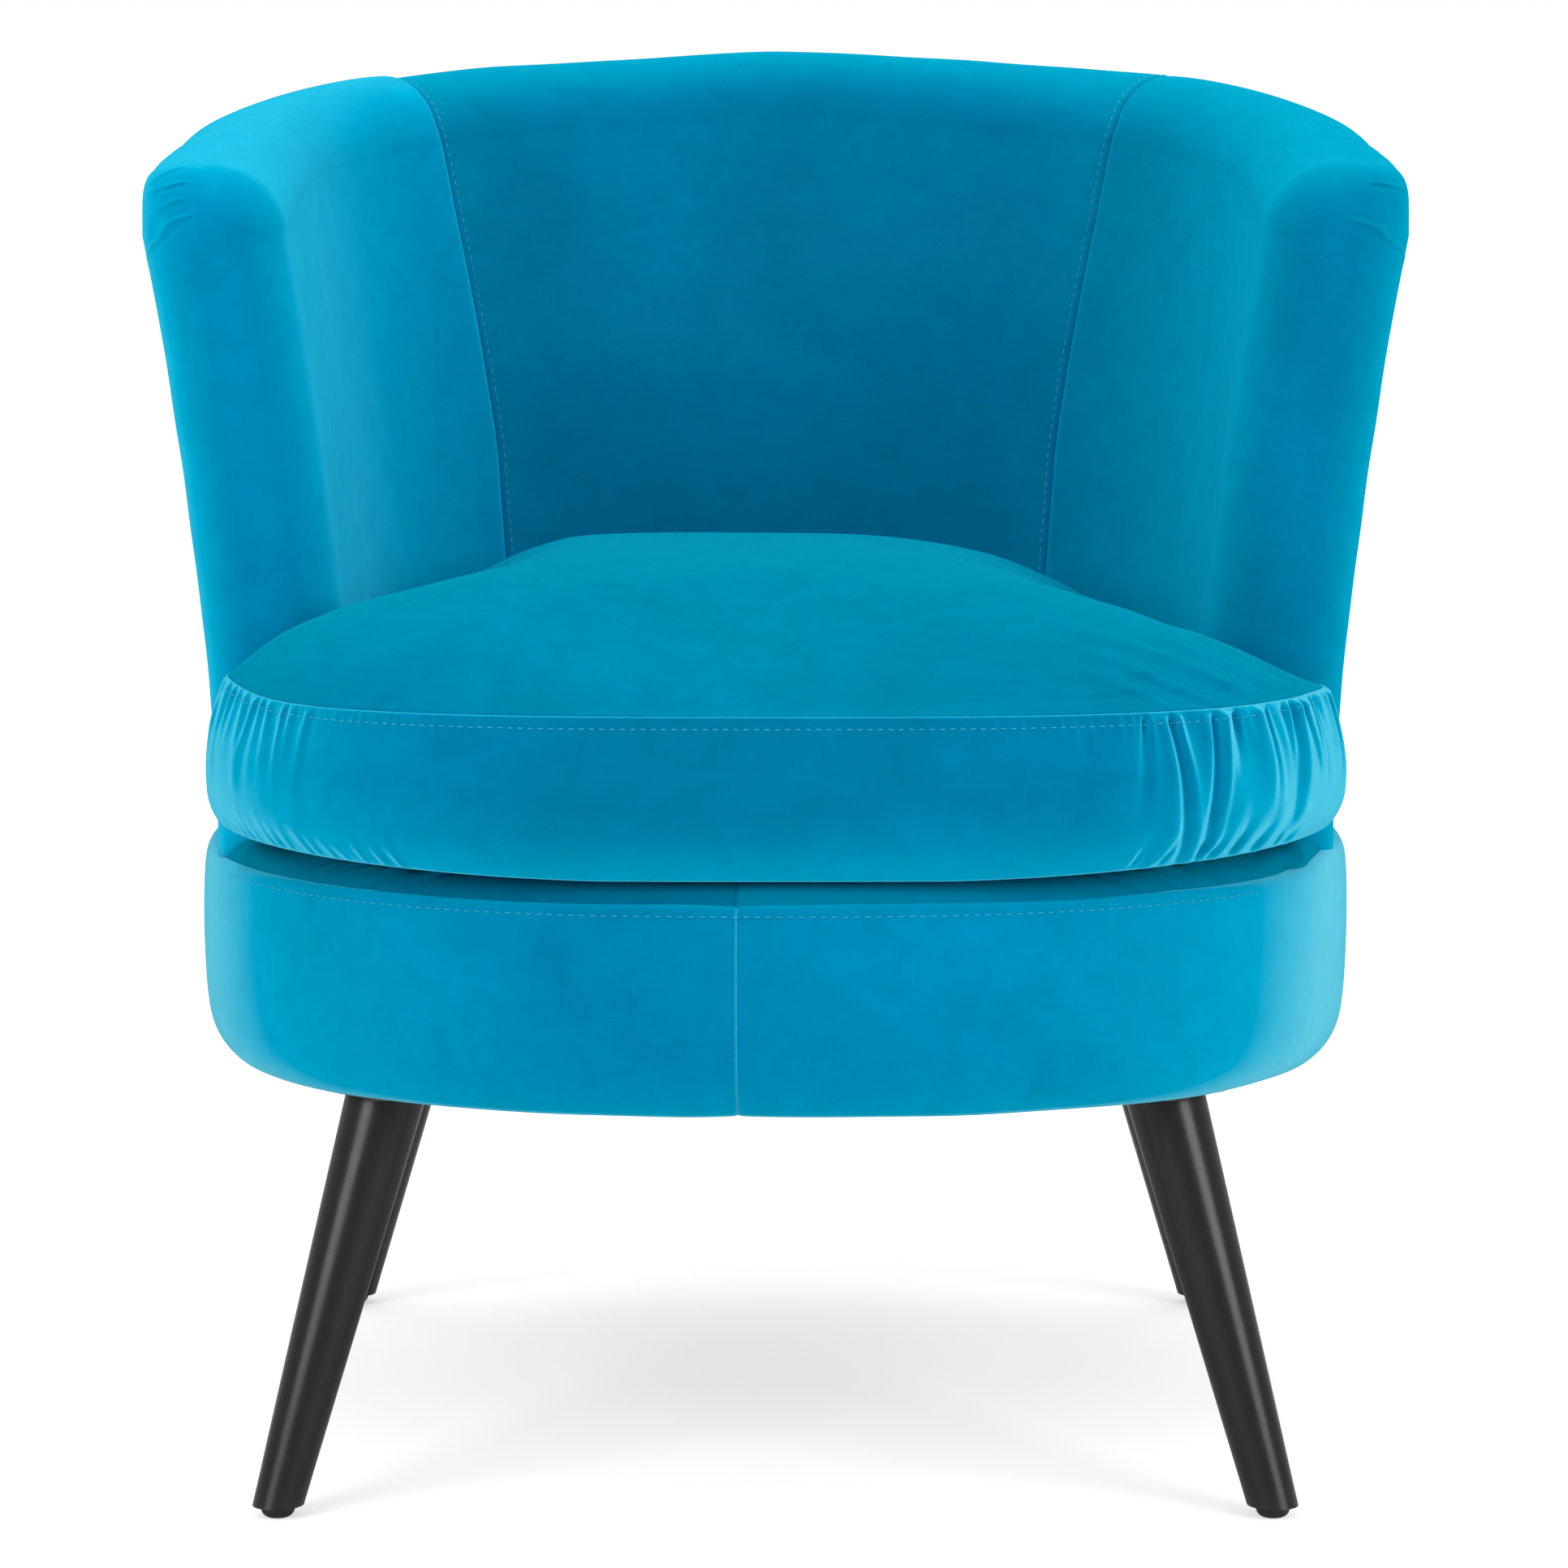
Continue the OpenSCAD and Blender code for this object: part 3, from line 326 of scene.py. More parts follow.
@dataclass(frozen=True)
class Grained(Finish):
    """Timber, plywood or board: a stretched grain between two tones."""

    light: Colour
    dark: Colour
    stretch: Colour = (6.0, 60.0, 60.0)
    roughness: float = 0.7

    def feeds(self, nodes: Nodes, place: bpy.types.NodeInputs) -> dict[str, object]:
        """What feeds the grain's shader; see Finish.feeds."""
        grain = nodes.noise(nodes.stretched(place["Object"], self.stretch), 2.0, 6.0, Distortion=0.6)
        return {"Base Color": nodes.mix(grain, self.dark, self.light), "Normal": nodes.bump(grain, 0.2, 0.0005),
                "Roughness": self.roughness}


@dataclass(frozen=True)
class Bright(Finish):
    """Plated or drawn steel with fine scratches and worn edges."""

    colour: Colour
    roughness: float = 0.32

    def feeds(self, nodes: Nodes, place: bpy.types.NodeInputs) -> dict[str, object]:
        """What feeds the metal's shader; see Finish.feeds."""
        worn = tuple(min(1.0, c * 1.5) for c in self.colour)
        return {"Base Color": nodes.mix(nodes.shared("wear", place["Object"], Amount=0.7), self.colour, worn),
                "Roughness": nodes.span(nodes.noise(place["Object"], 300.0, 5.0), self.roughness - 0.1,
                                        self.roughness + 0.12),
                "Metallic": 1.0}


@dataclass(frozen=True)
class Fibre(Finish):
    """Foam, wadding, felt or lining cloth: matt, speckled and finely rough."""

    light: Colour
    dark: Colour
    grain: float = 350.0
    relief: float = 0.5

    def feeds(self, nodes: Nodes, place: bpy.types.NodeInputs) -> dict[str, object]:
        """What feeds the fibre's shader; see Finish.feeds."""
        cells = nodes.noise(place["Object"], self.grain, 4.0, Roughness=0.7)
        return {"Base Color": nodes.mix(cells, self.dark, self.light), "Roughness": 0.92, "Sheen Weight": 0.15,
                "Normal": nodes.bump(cells, self.relief, 0.0008)}


@dataclass(frozen=True)
class PaleFloor(Finish):
    """Pale matt floor that turns white to the eye farther out."""

    def feeds(self, nodes: Nodes, place: bpy.types.NodeInputs) -> dict[str, object]:
        """What feeds the floor's shader; see Finish.feeds."""
        away = nodes.add("VectorMath", {0: place["Object"]}, operation="LENGTH").outputs["Value"]
        seen = nodes.add("LightPath").outputs["Is Camera Ray"]
        return {"Base Color": (0.82, 0.82, 0.82, 1.0), "Roughness": 0.8, "Specular IOR Level": 0.1,
                "Emission Color": (1, 1, 1, 1),
                "Emission Strength": nodes.math("MULTIPLY", seen, nodes.span(away, 0.5, 1.0, 0.5, 3.0))}


FINISHES: dict[str, bpy.types.Material] = {
    finish.name: finish.material()
    for finish in (
        # The velvet rows are lit and shaded copies of one velvet: each panel's strengths, rim sheen and sweeps are
        # set to how the light falls on it, so painted light and shade sit in its colour. The left wing's copy is
        # lighter than the right's, and the seat's is darker.
        Velvet("velvet_back", 0.80, 0.96),
        Velvet("velvet_wing_left", 0.98, 1.24, cloud_scale=4.0, rim=0.12),
        Velvet("velvet_wing_right", 0.8, 0.95, cloud_scale=4.0),
        Velvet("velvet_seat", 0.75, 0.68, cloud_scale=8.0, cloud_contrast=1.6),
        Velvet("velvet_band", 0.8, 1.2, cloud_scale=6.0, rim=0.55,
               sweeps=(("X", 0.17, 0.27, 0.17), ("Z", 0.392, 0.352, 0.12))),
        Velvet("velvet_base", 1.0, 1.1, cloud_scale=7.0, rim=0.9,
               sweeps=(("X", 0.08, 0.31, 0.10), ("X", -0.20, -0.31, -0.09))),
        Velvet("velvet_outer", 1.0, 1.1, cloud_scale=4.0),
        # Darker copies with the cushion's shade painted in, for the deck's strip and cloth; the strip's left half
        # and the cloth take the deeper one.
        Velvet("velvet_dark_nap", 0.58, 0.54),
        Velvet("velvet_bright_nap", 0.64, 0.60, lean=0.2),
        Fibre("stitch_thread", (0.03, 0.42, 0.56), (0.005, 0.3, 0.44), 900.0, 0.2),
        Lacquer("black_lacquer"),
        Lacquer("glide_plastic", colour=(0.012, 0.012, 0.013), worn=(0.03, 0.03, 0.03), roughness=0.5),
        Lacquer("plate_steel", colour=(0.01, 0.01, 0.011), worn=(0.2, 0.2, 0.2), roughness=0.4),
        Bright("fixing_steel", (0.5, 0.48, 0.42), 0.38),
        Bright("spring_steel", (0.25, 0.25, 0.27), 0.42),
        Grained("birch_ply", (0.62, 0.45, 0.28), (0.44, 0.29, 0.16)),
        Grained("beech_frame", (0.6, 0.4, 0.24), (0.42, 0.25, 0.13), (60.0, 60.0, 5.0)),
        Fibre("grey_card", (0.4, 0.35, 0.28), (0.28, 0.24, 0.19), 200.0, 0.2),
        Fibre("seat_foam", (0.85, 0.8, 0.55), (0.7, 0.64, 0.4)),
        Fibre("white_wadding", (0.86, 0.86, 0.84), (0.68, 0.68, 0.66), 160.0, 0.9),
        Fibre("grey_felt", (0.34, 0.34, 0.33), (0.18, 0.18, 0.18), 500.0, 0.6),
        Fibre("black_cambric", (0.03, 0.03, 0.032), (0.012, 0.012, 0.013), 700.0, 0.4),
        Fibre("zip_cloth", (0.01, 0.12, 0.17), (0.004, 0.07, 0.11), 800.0, 0.3),
    )
}

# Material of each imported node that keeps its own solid
NODE_FINISH = {
    "black_lacquer": ("leg_front_left", "leg_front_right", "leg_rear_left", "leg_rear_right"),
    "glide_plastic": ("floor_glides",),
    "plate_steel": ("leg_plates",),
    "fixing_steel": ("hanger_bolts", "tee_nuts", "plate_screws", "back_bolts", "spring_clips", "zip_slider"),
    "spring_steel": ("seat_springs",),
    "birch_ply": ("base_bottom_board", "base_top_ring", "base_side_panel"),
    "beech_frame": ("base_blocks", "back_bottom_rail", "back_uprights", "wing_post_left", "wing_post_right",
                    "back_top_rail"),
    "grey_card": ("inner_card", "outer_card"),
    "seat_foam": ("deck_foam", "back_foam", "rim_foam"),
    "white_wadding": ("base_padding",),
    "grey_felt": ("spring_felt",),
    "black_cambric": ("dust_cover",),
    "zip_cloth": ("zip_tape", "zip_coil"),
}


# Mesh making


def unit(share: Array) -> Array:
    """Holds values between 0 and 1."""
    return np.clip(share, 0, 1)


def bell(away: Array) -> Array:
    """Bell curve, 1 at 0 and a third at 1."""
    return np.exp(-(away**2))


def eased(share: Array) -> Array:
    """Goes from 0 to 1 with soft ends."""
    return share**2 * (3 - 2 * share)


def run_along(points: Array) -> Array:
    """Distance of each point of a line from its start, along the line."""
    return np.concatenate([[0], np.cumsum(np.linalg.norm(np.diff(points, axis=0), axis=1))])


def packed_toward_ends(share: Array, strength: float = 0.8) -> Array:
    """Spreads even shares so that they crowd towards 0 and 1, at a strength from 0 to just under 1."""
    return share - strength * np.sin(2 * math.pi * share) / (2 * math.pi)


def lifted(surface: Surface, u: Array, v: Array, height: Array, flip: bool = False) -> Array:
    """Points of a surface, moved along its normals.

    Args:
        surface: Gives the points at two parameters.
        u: First parameter of each point.
        v: Second parameter of each point.
        height: How far each point moves, in metres.
        flip: Whether the normals are turned round.

    Returns:
        Array of points, a row each.
    """
    step = 1e-4
    across = surface(u + step, v) - surface(u - step, v)
    up = surface(u, v + step) - surface(u, v - step)
    normal = np.cross(across, up)
    size = np.linalg.norm(normal, axis=1, keepdims=True)
    normal = normal / np.maximum(size, 1e-12)
    return surface(u, v) + normal * (height * (-1 if flip else 1))[:, None]


def grid_mesh(columns: int, rows: int, place: Placing) -> bmesh.types.BMesh:
    """Makes a grid and lays it on a surface.

    Args:
        columns: Cells along the first parameter.
        rows: Cells along the second parameter.
        place: Turns shares from 0 to 1 into points, and the cloth's own map in metres.

    Returns:
        The bmesh, with its map in a UV layer.
    """
    bm = bmesh.new()
    layer = bm.loops.layers.uv.new("UVMap")
    bmesh.ops.create_grid(bm, x_segments=columns, y_segments=rows, size=0.5)
    bm.verts.ensure_lookup_table()
    shares = np.array([v.co[:2] for v in bm.verts]) + 0.5
    points, flat_u, flat_v = place(shares[:, 0], shares[:, 1])
    for v, p in zip(bm.verts, points):
        v.co = p
    for f in bm.faces:
        f.smooth = True
        for loop in f.loops:
            i = loop.vert.index
            loop[layer].uv = (flat_u[i], flat_v[i])
    return bm


def finished(name: str, bm: bmesh.types.BMesh, finish: str, body: Body, merge: float = 0.0,
             flip: bool = False) -> bpy.types.Object:
    """Turns a bmesh into a piece that rides on its body.

    Args:
        name: Name of the piece.
        bm: Its mesh, which is freed.
        finish: Key of its material in FINISHES.
        body: The body that it rides on.
        merge: Distance under which points are joined, or 0.
        flip: Whether its faces are turned round.

    Returns:
        The object.
    """
    if merge:
        bmesh.ops.remove_doubles(bm, verts=bm.verts, dist=merge)
    if flip:
        bmesh.ops.reverse_faces(bm, faces=bm.faces)
    mesh = bpy.data.meshes.new(name)
    bm.to_mesh(mesh)
    bm.free()
    piece = bpy.data.objects.new(name, mesh)
    bpy.context.scene.collection.objects.link(piece)
    mesh.materials.append(FINISHES[finish])
    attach(piece, body.value)
    log.info("%s: %d faces", name, len(mesh.polygons))
    return piece


def give_thickness(piece: bpy.types.Object, thickness: float) -> None:
    """Makes a sheet's wall, inwards from its outer face."""
    wall = piece.modifiers.new("cloth_wall", "SOLIDIFY")
    wall.thickness = thickness
    wall.offset = -1.0
    wall.use_rim = True


def velvet_panel(name: str, bm: bmesh.types.BMesh, finish: str, body: Body, *nodes: str, merge: float = 0.0,
                 flip: bool = False, thickness: float = CLOTH) -> None:
    """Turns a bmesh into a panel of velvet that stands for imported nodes.

    Args:
        name: Name of the piece.
        bm: Its mesh, which is freed.
        finish: Key of its material in FINISHES.
        body: The body that it rides on.
        *nodes: The nodes that it stands for.
        merge: Distance under which points are joined, or 0.
        flip: Whether its faces are turned round.
        thickness: Thickness of the cloth.
    """
    piece = finished(name, bm, finish, body, merge, flip)
    give_thickness(piece, thickness)
    if nodes:
        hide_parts(*nodes)


def padding(piece: bpy.types.Object, fill: float, *nodes: str) -> None:
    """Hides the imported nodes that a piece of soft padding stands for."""
    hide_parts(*nodes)


@dataclass(frozen=True)
class Fold:
    """One gather, pleat or crease: a rounded ridge that fades along its length, with a valley beside it.

    A negative width puts the valley on the other side.
    """

    u: float
    v: float
    heading: float
    length: float
    width: float
    height: float

    def rise(self, u: Array, v: Array) -> Array:
        """Height of the fold over the cloth's own map.

        Args:
            u: First coordinate of each point, in metres.
            v: Second coordinate.

        Returns:
            Heights in metres.
        """
        c, s = math.cos(self.heading), math.sin(self.heading)
        du, dv = u - self.u, v - self.v
        ahead = du * c + dv * s
        aside = -du * s + dv * c
        share = unit(ahead / self.length)
        width = self.width * (0.55 + 0.9 * share)
        fade = np.where(ahead < 0, bell(ahead / (self.width * 1.5)), (1 - share) ** 1.5)
        return self.height * fade * (bell(aside / width) - 0.35 * bell((aside / width) - 1.9))


def folds_rise(folds: list[Fold], u: Array, v: Array) -> Array:
    """Sum of the heights of several folds."""
    total = np.zeros(len(u))
    for fold in folds:
        total += fold.rise(u, v)
    return total


def seam_rise(distance: Array, puff: float, reach: float = 0.022) -> Array:
    """Height of padded cloth near a seam: an edge turned under, a narrow valley, then a swelling.

    Args:
        distance: Distance of each point from the seam, in metres, negative past it.
        puff: How far the cloth swells away from the seam.
        reach: How far from the seam it has swelled.

    Returns:
        Heights in metres.
    """
    near = np.maximum(distance, 0)
    valley = -0.0008 * bell(near / 0.0008) + 1.3 * np.minimum(distance, 0)
    return puff * (1 - np.exp(-near / reach)) + 0.0003 * (1 - np.exp(-near / 0.0012)) + valley


def rounded_line(points: list[tuple[float, float]], passes: int) -> Array:
    """Rounds the corners of a line by cutting them, its ends kept.

    Args:
        points: Corners of the line.
        passes: How many times its corners are cut.

    Returns:
        The rounded line, a row a point.
    """
    line = np.array(points)
    for _ in range(passes):
        cut = np.empty((2 * len(line) - 2, line.shape[1]))
        cut[0::2] = line[:-1] * 0.75 + line[1:] * 0.25
        cut[1::2] = line[:-1] * 0.25 + line[1:] * 0.75
        line = np.vstack([line[:1], cut, line[-1:]])
    return line


def ripple(u: Array, v: Array, scale: float, seed: float) -> Array:
    """Smooth uneven waves of about plus and minus one, the same in every run."""
    total = np.zeros(len(u))
    for k in range(5):
        turn = 1.3 * k + seed
        c, s = math.cos(turn), math.sin(turn)
        total += np.sin((u * c + v * s) * scale * (0.6 + 0.35 * k) + 2.1 * k + seed * 3.7) / (1.2 + 0.5 * k)
    return total / 2.2


@dataclass
class StitchLine:
    """Row of short thread stitches laid on a path."""

    name: str
    body: Body
    length: float = 0.0040
    spacing: float = 0.0056
    thread: float = 0.00036

    def build(self, path: Array) -> None:
        """Lays the stitches.

        Args:
            path: Points of the path, close together, a row each.
        """
        run = run_along(path)
        bm = bmesh.new()
        for start in np.arange(self.spacing / 2, run[-1] - self.length, self.spacing):
            a, b = (Vector([np.interp(d, run, path[:, k]) for k in range(3)])
                    for d in (start, start + self.length))
            way = b - a
            shape = (Matrix.Translation((a + b) / 2) @ way.to_track_quat("X", "Z").to_matrix().to_4x4()
                     @ Matrix.Diagonal((way.length / 2, self.thread, self.thread * 0.8, 1)))
            bmesh.ops.create_uvsphere(bm, u_segments=6, v_segments=4, radius=1, matrix=shape)
        for f in bm.faces:
            f.smooth = True
        finished(self.name, bm, "stitch_thread", self.body)


# The shell: padded back, wings and rolled rim


@dataclass
class Shell:
    """Padded tub: two side panels that roll round the wings, a centre panel and an outer cover."""

    foot_z: float = 0.330
    inner_foot_z: float = 0.3428
    foot_half: float = 0.302
    flare: float = 0.038
    foot_back: float = 0.300
    back_flare: float = 0.022
    gap_half: float = 0.226
    gap_flare: float = 0.038
    inner_back: float = 0.201
    inner_lean: float = 0.044
    wing_reach: float = 0.150
    wing_rake: float = 0.025
    wing_curve: float = 0.520
    top_z: float = 0.761
    top_fall: float = 0.062
    top_fall_power: float = 1.5
    rim: float = 0.037
    roll_flat: float = 0.003
    seam_turn: float = 41.4
    seam_lean: float = 4.9
    corner: float = 3.4
    back_run: float = 0.43
    wing_run: float = 0.125
    roll_run: float = 0.055
    wall_share: float = 0.4
    puff: float = 0.0012
    wall_run: float = 0.36
    run_scale: float = 0.85
    stitch_inset: float = 0.0042
    pad_depth: float = 0.0024
    tip_reach: float = 0.015
    tip_depth: float = 0.016
    tip_inner: float = 0.0085
    tip_scale: float = 0.01
    tip_passes: int = 40
    cap_reach: float = 0.0125
    cap_fade: float = 0.006
    roll_pad: float = 0.010
    outer_pad: float = 0.0045
    pad_margin: float = 0.002
    pad_rows: tuple[float, float] = (0.008, 0.992)

    def seam_at(self, row: Array) -> Array:
        """Run, at rows, of the seam between the centre and a side panel, which leans out towards the rim."""
        lean = unit((row - self.wall_share / 2) / 0.22) ** 1.3
        return self.back_run * (self.seam_turn + self.seam_lean * lean) / 90

    @property
    def front_run(self) -> float:
        """Run at which the roll begins."""
        return self.back_run + self.wing_run

    @property
    def end_run(self) -> float:
        """Run of the roll's front line."""
        return self.front_run + self.roll_run

    def point(self, run: Array, row: Array) -> Array:
        """Points of the shell's face.

        Args:
            run: Run from the back's middle, in metres, negative on the left.
            row: From 0 at the inner foot over the rim to 1 at the outer foot.

        Returns:
            Points, a row each.
        """
        side = np.where(run < 0, -1.0, 1.0)
        far = np.abs(run)
        turn = unit(far / self.back_run) * math.pi / 2
        wing = unit((far - self.back_run) / self.wing_run)
        roll = unit((far - self.front_run) / self.roll_run) * math.pi / 2
        share = turn / (math.pi / 2) * 0.8 + wing * 0.2
        top = self.top_z - self.top_fall * share**self.top_fall_power - self.rim
        over = unit((row - self.wall_share) / (1 - 2 * self.wall_share)) * math.pi
        inside = row < 0.5
        climb = unit(np.where(inside, row, 1 - row) / self.wall_share)
        outer_foot = self.foot_z + (self.inner_foot_z - self.foot_z) * unit((roll - 0.5) / 1.07)
        foot = np.where(inside, self.inner_foot_z, outer_foot)
        z = foot + (top - foot) * climb
        t = unit((z - self.foot_z) / (top - self.foot_z))
        square = np.where(inside, 1.0, 1 - (1 - 2 / (2 + self.corner * wing)) * np.cos(roll))
        aside = np.sign(np.cos(over)) * np.abs(np.cos(over)) ** square
        height = z + self.rim * np.abs(np.sin(over)) ** square
        rise = (height - self.foot_z) / (top - self.foot_z)
        mix = (1 + aside) / 2
        outer = self.foot_half + self.flare * t**1.6
        inner = self.gap_half + self.gap_flare * t**1.4
        outer_back = self.foot_back + self.back_flare * t**1.6
        inner_back = self.inner_back + self.inner_lean * t**1.1
        s, c = np.sin(turn), np.maximum(np.cos(turn), 1e-9)
        n = SEAT_POWER
        r_out = ((s / outer) ** n + (c / outer_back) ** n) ** (-1 / n)
        r_in = ((s / inner) ** n + (c / inner_back) ** n) ** (-1 / n)
        r = r_out + (r_in - r_out) * mix
        straight = self.wing_reach - self.wing_rake * rise - self.rim + self.roll_flat
        along = wing * straight
        bow = (1 - (along / self.wing_curve) ** n) ** (1 / n)
        half = (outer - inner) / 2 * (1 - 2 * mix) * np.cos(roll)
        thin = np.sqrt(aside**2 + 0.012)
        ahead = (self.rim - self.roll_flat) * np.sin(roll) * np.minimum(thin, 1.0)
        in_wing = far > self.back_run
        x = np.where(in_wing, ((outer + inner) / 2 + half) * bow, r * s)
        y = np.where(in_wing, -along - ahead, r * c)
        return np.stack([side * x, y, height], axis=1)

    def row_length(self, row: Array) -> Array:
        """Rough distance of a row from the inner foot, over the rim, in metres."""
        wall, rim, w = self.wall_run, math.pi * self.rim, self.wall_share
        return (np.clip(row, 0, w) / w * wall + unit((row - w) / (1 - 2 * w)) * rim
                + unit((row - 1 + w) / w) * wall)

    def waves(self, run: Array, row: Array) -> Array:
        """Slight unevenness of the padding, most on the rim."""
        length = self.row_length(row)
        on_rim = bell((row - 0.5) / 0.16)
        fuller = 0.0036 * bell((run - 0.228) / 0.05) * on_rim
        uneven = 0.0009 * ripple(run, length, 26, 1.7) * (0.5 + on_rim) + 0.0004 * ripple(run, length, 75, 0.4)
        return uneven + fuller

    def corner_folds(self, side: Side) -> list[Fold]:
        """Tucks in the side panel where it turns over the wing's top front corner.

        Args:
            side: Which wing.

        Returns:
            The folds, on the panel's own map of run and row length.
        """
        start = self.row_length(np.array([1 - self.wall_share]))[0]
        creases = {
            Side.LEFT: ((0.044, -0.008, 0.056, 0.0020, 0.50), (0.028, -0.040, 0.030, 0.0014, 1.0),
                        (0.037, -0.026, 0.038, 0.0012, 0.60), (0.0385, -0.015, 0.036, 0.0011, 0.62)),
            Side.RIGHT: ((0.049, -0.007, 0.066, 0.0020, 0.42), (0.034, -0.025, 0.040, 0.0013, 0.50)),
        }
        return [Fold(self.front_run + ahead, start + down, math.pi - fall, length, -0.0014, height)
                for ahead, down, length, height, fall in creases[side]]

    def centre_panel(self) -> None:
        """Builds the panel between the two seams of the inner back."""
        def place(u: Array, v: Array) -> Placed:
            row = v * (1 - self.wall_share)
            run = (packed_toward_ends(u, 0.85) * 2 - 1) * (self.seam_at(row) + TUCK)
            edge = (self.seam_at(row) - np.abs(run)) * self.run_scale
            height = seam_rise(edge, self.puff) + self.waves(run, row)
            return lifted(self.point, run, row, height), run, self.row_length(row)

        bm = grid_mesh(180, 150, place)
        velvet_panel("back_centre_velvet", bm, "velvet_back", Body.FRAME, "inner_back_centre")

    def side_panel(self, side: Side) -> None:
        """Builds a side panel: inner side, rim, and the roll round the wing's front.

        Args:
            side: Which wing.
        """
        folds = self.corner_folds(side)
        w = self.wall_share
        wall = np.concatenate([np.linspace(0, 0.96 * w, 57)[:-1], np.linspace(0.96 * w, w, 21)[:-1]])
        over_rim = np.concatenate([wall, np.linspace(w, 1 - w, 197)])
        levels = np.concatenate([over_rim, 1 - wall[::-1]])

        def height(run: Array, row: Array) -> Array:
            length = self.row_length(row)
            return (seam_rise((run - self.seam_at(row)) * self.run_scale, self.puff) + self.waves(run, row)
                    + folds_rise(folds, run, length) * unit((row - 0.5) / 0.05))

        def inner(u: Array, v: Array) -> Placed:
            row = np.interp(v, np.linspace(0, 1, len(over_rim)), over_rim)
            start = self.seam_at(row) - TUCK
            run = start + (self.front_run - start) * (u - 0.62 * np.sin(math.pi * u) / math.pi)
            points = lifted(self.point, run * side.value, row, height(run, row))
            return points, run * side.value, self.row_length(row)

        def front(u: Array, v: Array) -> Placed:
            row = np.interp(v, np.linspace(0, 1, len(levels)), levels)
            lap = 0.006 * unit((row - 1 + w) / 0.02)
            run = self.front_run - lap + (self.roll_run + lap) * u
            points = lifted(self.point, run * side.value, row, height(run, row) * (1 - 0.999 * u**6))
            slope = 0.9 * bell((row - 0.5) / 0.05)
            points += (self.puff * u**6)[:, None] * np.stack([0 * row, -np.cos(slope), np.sin(slope)], axis=1)
            return points, run * side.value, self.row_length(row)

        bm = grid_mesh(90, len(over_rim) - 1, inner)
        roll = grid_mesh(44, len(levels) - 1, front)
        spare = bpy.data.meshes.new("spare")
        roll.to_mesh(spare)
        roll.free()
        bm.from_mesh(spare)
        bpy.data.meshes.remove(spare)
        bmesh.ops.remove_doubles(bm, verts=bm.verts, dist=JOIN)
        bm.verts.ensure_lookup_table()
        tip = self.point(np.array([self.end_run * side.value]), np.array([0.5]))[0]
        self.cap_tip(bm, tip)
        near_tip = [v for v in bm.verts if (v.co - Vector(tip)).length < self.tip_reach]
        for _ in range(self.tip_passes):
            bmesh.ops.smooth_vert(bm, verts=near_tip, factor=0.5, use_axis_x=True, use_axis_y=True,
                                  use_axis_z=True)
        velvet_panel(f"side_{side.word}_velvet", bm, f"velvet_wing_{side.word}", Body.FRAME,
                     f"inner_side_{side.word}", flip=side is Side.LEFT)

    def cap_tip(self, bm: bmesh.types.BMesh, tip: Array) -> None:
        """Lays the points round the roll's tip on one smooth cap that fits those farther out.

        Args:
            bm: The panel's mesh.
            tip: Where the roll's halves meet on top.
        """
        away = np.array([v.co[:] for v in bm.verts]) - tip
        out = np.hypot(away[:, 0], away[:, 1])
        top = away[:, 2] > -self.tip_depth

        def terms(rows: Array) -> Array:
            x, y = rows[:, 0] / self.tip_scale, rows[:, 1] / self.tip_scale
            return np.stack([np.ones(len(x)), x, y, x * x, x * y, y * y, x**3, x * x * y, x * y * y, y**3], axis=1)

        ring = (out > self.tip_inner) & (out < self.tip_reach) & top
        fit = np.linalg.lstsq(terms(away[ring]), away[ring, 2], rcond=None)[0]
        share = eased(unit((self.cap_reach - out) / self.cap_fade) * top)
        level = away[:, 2] + (terms(away) @ fit - away[:, 2]) * share
        for index in np.nonzero(share)[0]:
            bm.verts[index].co.z = level[index] + tip[2]

    def pad(self, name: str, node: str, runs: tuple[float, float], rows: tuple[float, float],
            thickness: float) -> None:
        """Builds a layer of wadding right under the velvet.

        Args:
            name: Name of the piece.
            node: The node that it stands for.
            runs: First and last run.
            rows: First and last row.
            thickness: Thickness of the layer.
        """
        def place(u: Array, v: Array) -> Placed:
            run = runs[0] + (runs[1] - runs[0]) * u
            row = rows[0] + (rows[1] - rows[0]) * v
            return lifted(self.point, run, row, np.full(len(row), -self.pad_depth)), run, row

        pad = finished(name, grid_mesh(90, 110, place), "white_wadding", Body.FRAME, flip=runs[1] < runs[0])
        give_thickness(pad, thickness)
        padding(pad, 0.8, node)

    def outer_panel(self) -> None:
        """Builds the cover round the outside of the back and wings."""
        def place(u: Array, v: Array) -> Placed:
            run = (packed_toward_ends(u, 0.7) * 2 - 1) * self.front_run
            above = TUCK / (math.pi * self.rim) * (1 - 2 * self.wall_share)
            row = 1 - self.wall_share - above + v * (self.wall_share + above)
            from_top = v * (self.wall_run + TUCK) - TUCK
            from_end = self.front_run - np.abs(run)
            height = (seam_rise(from_top, 0.0012) * unit(from_end / 0.02)
                      + 0.0006 * ripple(run, v * self.wall_run, 24, 2.2) * unit(from_end / 0.05))
            return lifted(self.point, run, row, height), run, self.row_length(row)

        bm = grid_mesh(220, 90, place)
        velvet_panel("outer_back_velvet", bm, "velvet_outer", Body.FRAME, "outer_back_cover")

    def stitches(self) -> None:
        """Lays the topstitch beside both seams, on the centre panel's side."""
        for side in Side:
            row = np.linspace(0.03, 1 - self.wall_share, 400)
            run = self.seam_at(row) - self.stitch_inset
            from_seam = np.full(len(row), self.stitch_inset * self.run_scale)
            height = seam_rise(from_seam, self.puff) + self.waves(run * side.value, row)
            path = lifted(self.point, run * side.value, row, height + THREAD_LIFT)
            StitchLine(f"back_stitches_{side.word}", Body.FRAME).build(path)

